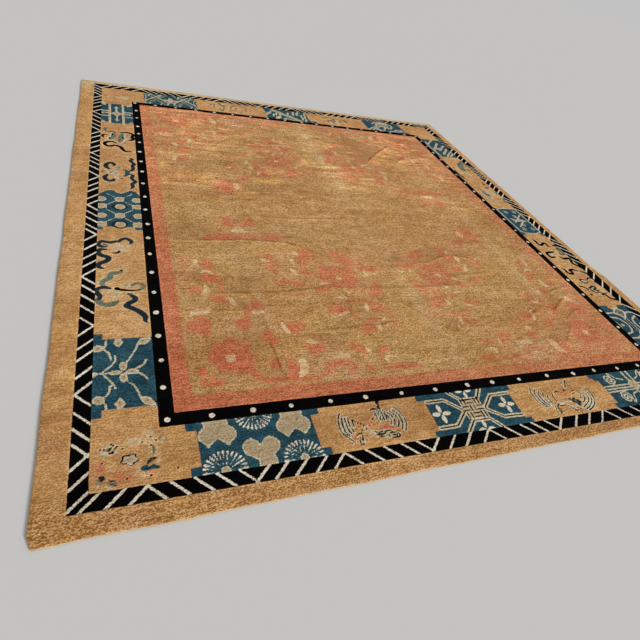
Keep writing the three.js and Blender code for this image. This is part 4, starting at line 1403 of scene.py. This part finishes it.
def rim_faces(pile_loop, pile_count, back_numbers):
    """Faces between the pile's edge, the rings below it and the back's edge."""
    count = len(pile_loop)
    here = np.arange(count)
    after = (here + 1) % count
    rings = [pile_loop] + [pile_count + ring * count + here for ring in range(len(RIM_RINGS))]
    quads = [
        np.stack([lower[here], lower[after], upper[after], upper[here]], 1)
        for upper, lower in zip(rings, rings[1:])
    ]
    triangles = []
    stops = np.flatnonzero(back_numbers >= 0)
    lowest = rings[-1]
    for start, end in zip(stops, np.roll(stops, -1)):
        corner, next_corner = back_numbers[start], back_numbers[end]
        triangles.append((corner, next_corner, lowest[start]))
        place = start
        while place != end:
            triangles.append((next_corner, lowest[after[place]], lowest[place]))
            place = after[place]
    return np.concatenate(quads), np.array(triangles)


def sheet_mesh():
    """The closed sheet, with the pattern as attributes and its own unwrapped map."""
    pile = pile_division()
    pile_quads, pile_triangles, pile_used = skin_faces(pile)
    back_quads, back_triangles, back_used = skin_faces(back_division(pile))
    pile_points = np.flatnonzero(pile_used)
    back_points = np.flatnonzero(back_used)
    loop = outline_loop(pile_used)
    loop_points = np.array([row * (LATTICE_COLUMNS + 1) + column for row, column in loop])
    points = np.concatenate([pile_points, np.tile(loop_points, len(RIM_RINGS)), back_points])
    back_start = len(points) - len(back_points)

    pile_number = np.full(pile_used.size, -1)
    pile_number[pile_points] = np.arange(len(pile_points))
    back_number = np.full(back_used.size, -1)
    back_number[back_points] = back_start + np.arange(len(back_points))
    back_loop = back_number[loop_points]
    rim_quads, rim_triangles = rim_faces(pile_number[loop_points], len(pile_points), back_loop)

    # Where each vertex lies, in mm, and where the rim lies on the map
    x, y, lift, crease = (
        values.ravel()[points] for values in (lattice_x, lattice_y, fold_lift, crease_lift)
    )
    places = np.stack([x, y, lift + RUG_THICKNESS + crease], 1)
    places[back_start:, 2] = lift[back_start:]
    map_places = places[:, :2].copy()
    sides = np.array([
        ((column == LATTICE_COLUMNS) - (column == 0), (row == LATTICE_ROWS) - (row == 0))
        for row, column in loop
    ])
    for ring, (outward, height) in enumerate(RIM_RINGS):
        first = len(pile_points) + ring * len(loop)
        part = slice(first, first + len(loop))
        places[part, :2] += outward * sides
        places[part, 2] = lift[part] + height * RUG_THICKNESS
        map_places[part] += RIM_MAP_STEP * (ring + 1) * sides

    mesh = bpy.data.meshes.new("rug_sheet")
    mesh.vertices.add(len(points))
    mesh.vertices.foreach_set("co", (places / 1000).astype(np.float32).ravel())
    face_groups = (
        pile_number[pile_quads],
        pile_number[pile_triangles],
        rim_quads,
        rim_triangles,
        back_number[back_quads][:, ::-1],
        back_number[back_triangles][:, ::-1],
    )
    corners = np.concatenate([group.ravel() for group in face_groups])
    sizes = np.concatenate([np.full(len(group), group.shape[1]) for group in face_groups])
    mesh.loops.add(len(corners))
    mesh.loops.foreach_set("vertex_index", corners.astype(np.int32))
    mesh.polygons.add(len(sizes))
    starts = np.concatenate([[0], np.cumsum(sizes)[:-1]])
    mesh.polygons.foreach_set("loop_start", starts.astype(np.int32))
    mesh.update(calc_edges=True)
    mesh.polygons.foreach_set("use_smooth", np.ones(len(sizes), bool))

    layers = {**distances, **tints}
    # The broad patches of painted light and shade, for the wool's colour
    layers["shade"] = painted_light_and_shade
    layers["crease_depth"] = crease_depth
    layers["crease_side"] = crease_side
    layers["field"] = inside_block(lattice_x, lattice_y, *FIELD_EDGES)
    outline = (lattice_x[:, :1], lattice_y[:1], lattice_x[:, -1:], lattice_y[-1:])
    layers["from_edge"] = inside_block(lattice_x, lattice_y, *outline)
    layers = {name: values.ravel()[points] for name, values in layers.items()}
    rings = np.repeat(np.arange(len(RIM_RINGS)) + 1, len(loop))
    layers["from_edge"][len(pile_points) : back_start] = -RIM_MAP_STEP * rings
    layers["from_edge"][back_start:] = -RIM_MAP_STEP * (len(RIM_RINGS) + 1)
    layers["is_back"] = np.arange(len(points)) >= back_start - len(loop)
    for name, values in layers.items():
        stored = mesh.attributes.new(name, "FLOAT", "POINT")
        stored.data.foreach_set("value", values.astype(np.float32))

    # The unwrapped map: one island for the pile and its rim, one for the back
    reach = RIM_MAP_STEP * (len(RIM_RINGS) + 1)
    scale = (1 - 2 * MAP_MARGIN) / (RUG_LENGTH + 2 * reach)
    from_corner = map_places + (RUG_WIDTH / 2 + reach, RUG_LENGTH / 2 + reach)
    pile_map = from_corner * scale + MAP_MARGIN
    back_map = pile_map.copy()
    low, high = BACK_STRIP
    back_map[:, 0] = low + (places[:, 0] / RUG_WIDTH + 0.5) * (high - low)
    met = back_loop >= 0
    pile_map[back_loop[met]] += reach * sides[met] * scale
    pile_corners = sum(group.size for group in face_groups[:4])
    unwrapped = back_map[corners]
    unwrapped[:pile_corners] = pile_map[corners[:pile_corners]]
    mesh.uv_layers.new(name="OFBake").data.foreach_set("uv", unwrapped.astype(np.float32).ravel())
    mesh.validate()
    return mesh


def new_object(name, data):
    made = bpy.data.objects.new(name, data)
    bpy.context.scene.collection.objects.link(made)
    return made


def new_material(name):
    made = bpy.data.materials.new(name)
    made.use_nodes = True
    made.node_tree.nodes.clear()
    return made


rug = new_object("rug_pile", sheet_mesh())


# The wool: short hand-spun pile with its dyes as they have faded. Each colour is laid over the
# ones below where its distance is above 0, with an edge as ragged as the knots make it.
wool = new_material("rug_wool")
# The tree that the functions below add their nodes to
tree = wool.node_tree


def dye(red, green, blue):
    """A colour as seen on a screen (0 to 255), as the light it reflects."""
    shares = [channel / 255 for channel in (red, green, blue)]
    linear = [s / 12.92 if s <= 0.04045 else ((s + 0.055) / 1.055) ** 2.4 for s in shares]
    return (*linear, 1)


def add_node(kind, inputs=(), **settings):
    """A node with its settings, and its inputs by name or number: a value or another's output."""
    made = tree.nodes.new(kind)
    for name, setting in settings.items():
        setattr(made, name, setting)
    for place, value in dict(inputs).items():
        if isinstance(value, bpy.types.NodeSocket):
            tree.links.new(value, made.inputs[place])
        else:
            made.inputs[place].default_value = value
    return made


def calculate(operation, *values):
    return add_node("ShaderNodeMath", enumerate(values), operation=operation).outputs[0]


def total(base, *terms):
    """The base, and for each term its first value times its second."""
    for value, share in terms:
        base = calculate("MULTIPLY_ADD", value, share, base)
    return base


def product(first, *others):
    for other in others:
        first = calculate("MULTIPLY", first, other)
    return first


def rest_of(share):
    return calculate("SUBTRACT", 1.0, share)


def ramp(value, low, high, to_low=0, to_high=1, kind="SMOOTHSTEP"):
    """The value's place between low and high, as one between to_low and to_high."""
    inputs = {"Value": value, "From Min": low, "From Max": high, "To Min": to_low, "To Max": to_high}
    return add_node("ShaderNodeMapRange", inputs, interpolation_type=kind).outputs[0]


def mottle(place, scale, detail=2, stretch=(1, 1, 1), spread=0.25):
    """Noise from -1 to 1, with features about 1 / scale metres across."""
    vector = add_node("ShaderNodeMapping", {"Vector": place, "Scale": stretch}).outputs[0]
    inputs = {"Vector": vector, "Scale": scale, "Detail": detail, "Roughness": 0.55}
    noise = add_node("ShaderNodeTexNoise", inputs).outputs["Fac"]
    return ramp(noise, 0.5 - spread, 0.5 + spread, -1, 1, "LINEAR")


def cover(below, above, share, mode="MIX"):
    """The colour above over the one below, by its share."""
    inputs = {0: share, 6: below, 7: above}
    return add_node("ShaderNodeMix", inputs, data_type="RGBA", blend_type=mode).outputs[2]


def layer(name):
    return add_node("ShaderNodeAttribute", attribute_name=name).outputs["Fac"]


# Knots of about 4 mm, their hand-made wavering, tufts that lie along the weft, cloudy wear and
# bands of dye across the rug
place = add_node("ShaderNodeTexCoord").outputs["Object"]
across, along, _ = add_node("ShaderNodeSeparateXYZ", {0: place}).outputs
knots = mottle(place, 240, 1, (0.7, 1, 1), 0.16)
wavering = mottle(place, 30)
tufts = mottle(place, 130, 2, (0.48, 1, 1))
clumps = mottle(place, 46, 2, (0.3, 1, 1))
patches = mottle(place, 16, 3)
clouds = mottle(place, 3.2, 3)
dye_bands = mottle(place, 7, 3, (0.16, 1, 1))
streaks = mottle(place, 40, 3, (0.09, 1, 1))
fibres = mottle(place, 85, 2, (0.07, 1, 1))

# The ground: khaki in the field and more golden outside it
KHAKI, KHAKI_DEEP = dye(189, 151, 99), dye(156, 115, 65)
GOLDEN, GOLDEN_DEEP = dye(202, 158, 106), dye(168, 120, 72)
in_field = ramp(layer("field"), -1, 1)
depth = total(0.46, (clouds, 0.3), (dye_bands, 0.34), (patches, 0.36))
golden, khaki = cover(GOLDEN, GOLDEN_DEEP, depth), cover(KHAKI, KHAKI_DEEP, depth)
colour = cover(golden, khaki, in_field)
# Its yellow has faded unevenly, and the outer band has bleached at the far side
GREYER, YELLOWER = (1.0, 1.0, 1.12, 1), (1.0, 1.0, 0.87, 1)
BLEACHED = dye(206, 184, 142)
yellowing = total(0.5, (mottle(place, 5.3, 4), 0.6))
colour = cover(colour, cover(GREYER, YELLOWER, yellowing), 1.0, "MULTIPLY")
bleached = product(ramp(layer("from_edge"), 84, 60), ramp(along, 1.6, 1.85), 0.6)
colour = cover(colour, BLEACHED, bleached)

# Where the coral has kept its strength: most at the near left corner
kept = total(0.4, (across, -0.2), (along, -0.15))
kept = calculate("MINIMUM", calculate("MAXIMUM", kept, 0.5), 0.9)

# Faded coral and paled wool, which have no edges of their own
CORAL_FADED, CORAL, PALED = dye(199, 124, 91), dye(192, 100, 72), dye(206, 184, 144)
bled = product(total(0.75, (patches, 0.35)), layer("blush"))
bled = total(bled, (product(tufts, bled), 0.9))
bled = total(bled, (product(clumps, bled), 0.7))
colour = cover(colour, CORAL_FADED, bled)
colour = cover(colour, PALED, product(total(0.7, (wavering, 0.3)), layer("pale")))

# The sprays' coral is worn through in places, knot by knot
rose = ramp(total(layer("rose"), (wavering, 5), (clumps, 7), (tufts, 9), (knots, 4)), -12, 8)
colour = cover(colour, CORAL, product(rose, ramp(patches, -1.1, 0.2, 0.7, 1), kept))

# The other colours, each with how far its edge wavers, is ragged and blends (mm), and its
# lightest and deepest dye
DYES = (
    ("coral", 3.0, 3.5, 6.0, dye(198, 114, 84), dye(172, 90, 63)),
    ("blue", 1.0, 1.0, 1.2, dye(52, 90, 101), dye(18, 49, 66)),
    ("grey_green", 1.0, 1.4, 1.2, dye(120, 128, 106), dye(74, 90, 80)),
    ("navy", 1.0, 1.0, 1.2, dye(38, 54, 62), dye(10, 16, 24)),
    ("cream", 0.8, 1.0, 1.2, dye(206, 196, 171), dye(172, 161, 133)),
    ("brown", 0.8, 1.2, 1.2, dye(150, 118, 82), dye(120, 88, 56)),
    ("dark", 0.8, 0.8, 1.2, dye(10, 8, 8), dye(4, 3, 4)),
    ("ivory", 0.6, 0.8, 1.2, dye(234, 225, 208), dye(202, 191, 169)),
    ("straw", 0.3, 1.0, 1.2, dye(190, 162, 120), dye(164, 134, 94)),
)
# Inside its outline, a large cream shape is filled with darker wool
CREAM_FILLING = dye(172, 151, 118)
# In the field the ivory has yellowed
YELLOWED = dye(214, 184, 142)
# How far some wool has worn down to the ground colour
worn_away = {
    "coral": rest_of(kept),
    "ivory": product(total(0.5, (kept, -0.3), (clumps, 0.3)), in_field),
}
shares = {}
for name, waver, ragged, blend, light, deep in DYES:
    edge = total(layer(name), (wavering, waver), (knots, ragged), (tufts, ragged))
    shares[name] = ramp(edge, -blend, blend)
    if name in worn_away:
        shares[name] = product(shares[name], rest_of(worn_away[name]))
    depth = total(0.5, (patches, 0.35), (tufts, 0.3), (dye_bands, 0.2))
    yarn = cover(light, deep, depth)
    if name == "cream":
        yarn = cover(yarn, CREAM_FILLING, ramp(layer("cream"), 4, 7, 0, 0.85))
    if name == "ivory":
        yarn = cover(yarn, YELLOWED, in_field)
    colour = cover(colour, yarn, shares[name])

# Painted light and shade of the tufts: pile tips are painted pale and rather green, and the gaps
# between tufts deep and red, as light and shade fall on them. They show more where the pile is
# shorter, at the far and right sides, and in the near outer band, and less in the rest of the
# border, which has worn smooth, and on light wool.
TIP_PAINTED_LIGHT, GAP_PAINTED_SHADE = (1.5, 1.6, 1.86, 1), (0.52, 0.42, 0.2, 1)
tuft_height = total(0.5, (tufts, 0.6), (knots, 0.85), (fibres, 0.24), (streaks, 0.14))
contrast = total(0.92, (along, 0.13), (across, 0.05))
contrast = calculate("MINIMUM", calculate("MAXIMUM", contrast, 0.6), 1.0)
smooth = product(ramp(layer("field"), -20, -50), 0.3, rest_of(shares["blue"]))
contrast = product(contrast, rest_of(smooth))
contrast = calculate("MAXIMUM", contrast, ramp(along, -1.74, -1.82, 0, 0.8))
light_wool = calculate("MAXIMUM", shares["cream"], shares["ivory"])
contrast = product(contrast, rest_of(product(light_wool, 0.5)))
colour = cover(colour, cover(GAP_PAINTED_SHADE, TIP_PAINTED_LIGHT, tuft_height), contrast, "MULTIPLY")

# The pile's edge stands up and is rubbed pale beside the dark wool, which has worn down
RUBBED_EDGE = (1.2, 1.22, 1.26, 1)
beside_dark = product(ramp(layer("dark"), -6.5, -3), rest_of(shares["dark"]))
colour = cover(colour, RUBBED_EDGE, beside_dark, "MULTIPLY")

# Fine wrinkles wander over the far half of the field, where the sheet has shrunk unevenly. They
# are in the relief, and their lines are also painted lighter, a painted highlight
WRINKLE_PAINTED_HIGHLIGHT = (1.46, 1.45, 1.42, 1)
wandering = mottle(place, 11, 2, (0.2, 1, 1))
wrinkled_part = ramp(mottle(place, 2.6, 2, (0.6, 1, 1)), -0.3, 0.4)
wrinkled_part = product(wrinkled_part, ramp(along, -0.3, 0.5))
wrinkle = ramp(calculate("ABSOLUTE", wandering), 0.3, 0.08)
wrinkle = product(wrinkle, wrinkled_part, in_field)
colour = cover(colour, WRINKLE_PAINTED_HIGHLIGHT, wrinkle, "MULTIPLY")

# Painted shade, with some dirt, darkens the shaded side of each crease, and painted light makes its other
# side paler
CREASE_PAINTED_SHADE, CREASE_PAINTED_LIGHT = (0.56, 0.43, 0.34, 1), (1.14, 1.13, 1.1, 1)
crease_side = total(layer("crease_side"), (wavering, 5))
crease_depth = product(total(0.8, (patches, 0.35)), layer("crease_depth"))
from_painted_shade = calculate("ABSOLUTE", calculate("SUBTRACT", crease_side, 5))
from_painted_light = calculate("ABSOLUTE", calculate("ADD", crease_side, 12))
painted_crease_shade = product(ramp(from_painted_shade, 14, 0), product(crease_depth, 0.3))
colour = cover(colour, CREASE_PAINTED_SHADE, painted_crease_shade, "MULTIPLY")
painted_crease_light = product(ramp(from_painted_light, 12, 1), product(crease_depth, 0.4))
colour = cover(colour, CREASE_PAINTED_LIGHT, painted_crease_light, "MULTIPLY")

# Painted light and shade: the pile is made lighter or darker in broad patches, as light falls on its lean
# and undulations, and in part where it has worn
PATCH_PAINTED_SHADE, PATCH_PAINTED_LIGHT = (0.78, 0.74, 0.68, 1), (1.22, 1.22, 1.2, 1)
lean = ramp(layer("shade"), -1, 1, kind="LINEAR")
colour = cover(colour, cover(PATCH_PAINTED_SHADE, PATCH_PAINTED_LIGHT, lean), 1.0, "MULTIPLY")

# The lowest of the rim shows the pale foundation, and the back is duller
FOUNDATION = dye(204, 186, 152)
worn = total(layer("from_edge"), (wavering, 2), (knots, 1.5))
colour = cover(colour, FOUNDATION, ramp(worn, -6, -10, 0, 0.9))
colour = cover(colour, FOUNDATION, product(layer("is_back"), 0.3))

# Relief (mm): knots and tufts, ripples along the weft, and the dark wool, which has corroded lower
relief = total(
    product(knots, 0.7), (tufts, 1.0), (clumps, 0.8), (fibres, 0.8), (streaks, 0.9),
    (dye_bands, 3), (clouds, 6), (shares["dark"], -1.6), (wrinkle, 1.8),
)


def finish_shader(relief, unit, inputs):
    """A shader with these inputs and a relief in this unit (m), as the tree's surface."""
    bump_inputs = {"Strength": 1.0, "Distance": unit, "Height": relief}
    normal = add_node("ShaderNodeBump", bump_inputs).outputs[0]
    shader = add_node("ShaderNodeBsdfPrincipled", {**inputs, "Normal": normal})
    add_node("ShaderNodeOutputMaterial", {"Surface": shader.outputs[0]})


MILLIMETRE = 0.001
wool_shading = {
    "Base Color": colour,
    "Roughness": 1.0,
    "Specular IOR Level": 0.0,
    "Sheen Weight": total(0.02, (shares["dark"], -0.016)),
    "Sheen Roughness": 0.6,
}
finish_shader(relief, MILLIMETRE, wool_shading)
rug.data.materials.append(wool)
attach(rug, "root")
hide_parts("rug")


# The side edges: the outermost warps are bound with plain wool yarn, wound round them all the way
# up each side of the rug. Every turn of yarn is one ring that leans along the edge.
# In metres, and the lean in radians
WINDING_SIZES = {"Pitch": 0.0052, "Turn Radius": 0.0039, "Yarn Radius": 0.0015, "Lean": 0.3}
TURN_SEGMENTS, YARN_SEGMENTS = 8, 4
EDGE_POINTS = 240
EDGE_INSET = 1.0

edge_rows = np.linspace(2, LATTICE_ROWS - 2, EDGE_POINTS).astype(int)
path_points, path_links = [], []
for column, inward in ((0, EDGE_INSET), (LATTICE_COLUMNS, -EDGE_INSET)):
    first = len(path_points)
    edge_x = lattice_x[edge_rows, column] - inward
    edge_z = fold_lift[edge_rows, column] + RUG_THICKNESS / 2
    edge_places = np.stack([edge_x, lattice_y[edge_rows, column], edge_z], 1) / 1000
    path_points += edge_places.tolist()
    path_links += [(first + step, first + step + 1) for step in range(EDGE_POINTS - 1)]
edge_mesh = bpy.data.meshes.new("side_bindings")
edge_mesh.from_pydata(path_points, path_links, [])
bindings = new_object("side_bindings", edge_mesh)

# The yarn: the same wool, undyed tan, finely mottled and paler in patches where feet have rubbed it
yarn = new_material("binding_yarn")
tree = yarn.node_tree
place = add_node("ShaderNodeTexCoord").outputs["Object"]
fibres = mottle(place, 900, 2)
depth = total(0.5, (fibres, 0.3), (mottle(place, 9, 3), 0.35))
yarn_shading = {
    "Base Color": cover(dye(208, 188, 150), dye(164, 128, 84), depth),
    "Roughness": 0.92,
    "Specular IOR Level": 0.2,
    "Sheen Weight": 0.15,
}
finish_shader(fibres, 0.2 * MILLIMETRE, yarn_shading)

winding = bpy.data.node_groups.new("edge_winding", "GeometryNodeTree")
tree = winding
sockets = winding.interface
sockets.new_socket("Geometry", in_out="INPUT", socket_type="NodeSocketGeometry")
size_inputs = {}
for name, size in WINDING_SIZES.items():
    socket = sockets.new_socket(name, in_out="INPUT", socket_type="NodeSocketFloat")
    size_inputs[socket.identifier] = size
sockets.new_socket("Geometry", in_out="OUTPUT", socket_type="NodeSocketGeometry")
given = add_node("NodeGroupInput").outputs
path = add_node("GeometryNodeMeshToCurve", {"Mesh": given["Geometry"]}).outputs[0]
turns = add_node(
    "GeometryNodeCurveToPoints", {"Curve": path, "Length": given["Pitch"]}, mode="LENGTH"
).outputs
circle = "GeometryNodeCurvePrimitiveCircle"
turn_line = add_node(circle, {"Resolution": TURN_SEGMENTS, "Radius": given["Turn Radius"]})
yarn_line = add_node(circle, {"Resolution": YARN_SEGMENTS, "Radius": given["Yarn Radius"]})
turn_curves = {"Curve": turn_line.outputs["Curve"], "Profile Curve": yarn_line.outputs["Curve"]}
turn_mesh = add_node("GeometryNodeCurveToMesh", turn_curves).outputs[0]
turn_mesh = add_node("GeometryNodeSetShadeSmooth", {"Geometry": turn_mesh}).outputs[0]
# Each turn leans along the edge, and by hand a little more or less
uneven = add_node(
    "FunctionNodeRandomValue",
    {"Min": (-0.06, -0.06, 0.0), "Max": (0.06, 0.06, 1.5), "Seed": 11},
    data_type="FLOAT_VECTOR",
).outputs[0]
lean = add_node("ShaderNodeCombineXYZ", {0: given["Lean"]}).outputs[0]
lean = add_node("ShaderNodeVectorMath", {0: lean, 1: uneven}, operation="ADD").outputs[0]
turned = add_node(
    "FunctionNodeRotateRotation",
    {"Rotation": turns["Rotation"], "Rotate By": lean},
    rotation_space="LOCAL",
).outputs[0]
wound = add_node(
    "GeometryNodeInstanceOnPoints",
    {"Points": turns["Points"], "Instance": turn_mesh, "Rotation": turned},
).outputs[0]
wound = add_node("GeometryNodeRealizeInstances", {0: wound}).outputs[0]
wound = add_node("GeometryNodeSetMaterial", {"Geometry": wound, "Material": yarn}).outputs[0]
add_node("NodeGroupOutput", {0: wound})

wind = bindings.modifiers.new("winding", "NODES")
wind.node_group = winding
for identifier, size in size_inputs.items():
    wind[identifier] = size
evaluated = bindings.evaluated_get(bpy.context.evaluated_depsgraph_get())
wound_mesh = bpy.data.meshes.new_from_object(evaluated)
bindings.modifiers.clear()
bindings.data = wound_mesh
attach(bindings, "root")


# The studio: a plain pale floor, soft light, and the photo's viewpoint.
FLOOR_HALF = 40
FLOOR_DROP = 0.0005
floor_corners = [
    (side_x * FLOOR_HALF, side_y * FLOOR_HALF, -FLOOR_DROP)
    for side_x, side_y in ((-1, -1), (1, -1), (1, 1), (-1, 1))
]
floor_mesh = bpy.data.meshes.new("studio_floor")
floor_mesh.from_pydata(floor_corners, [], [(0, 1, 2, 3)])
studio_floor = new_object("studio_floor", floor_mesh)
floor_paint = bpy.data.materials.new("floor_paint")
floor_paint.use_nodes = True
floor_shader = floor_paint.node_tree.nodes["Principled BSDF"].inputs
floor_shader["Base Color"].default_value = dye(195, 194, 192)
floor_shader["Roughness"].default_value = 0.9
floor_shader["Specular IOR Level"].default_value = 0.1
floor_mesh.materials.append(floor_paint)

# One broad light stands far off at the right, in front of the rug; the rest comes from all round.
KEY_POWER = 3.0
KEY_SPREAD = 0.3
KEY_FROM = (3.2, -4.6, 3.1)
AROUND_POWER = 0.54
key_light = bpy.data.lights.new("key_light", "SUN")
key_light.energy = KEY_POWER
key_light.angle = KEY_SPREAD
key = new_object("key_light", key_light)
key.location = KEY_FROM
key.rotation_euler = (-Vector(KEY_FROM)).to_track_quat("-Z", "Y").to_euler()
sky = bpy.data.worlds.new("studio_sky")
sky.use_nodes = True
sky_light = sky.node_tree.nodes["Background"].inputs
sky_light["Color"].default_value = (1, 1, 1, 1)
sky_light["Strength"].default_value = AROUND_POWER
bpy.context.scene.world = sky
bpy.context.scene.view_settings.view_transform = "Standard"

# The camera stands at the near left corner, rolled as the photographer held it
CAMERA_PLACE = (-1.3798, -2.5695, 1.4411)
CAMERA_RIGHT = (0.92812, -0.30025, 0.22008)
CAMERA_UP = (0.04394, 0.67540, 0.73614)
CAMERA_BACK = (-0.36967, -0.67356, 0.64005)
CAMERA_LENS = 26.466
lens = bpy.data.cameras.new("camera")
lens.sensor_width = 36
lens.lens = CAMERA_LENS
lens.clip_end = 60
camera = new_object("camera", lens)
turn = Matrix((CAMERA_RIGHT, CAMERA_UP, CAMERA_BACK)).transposed().to_4x4()
camera.matrix_world = Matrix.Translation(CAMERA_PLACE) @ turn
bpy.context.scene.camera = camera
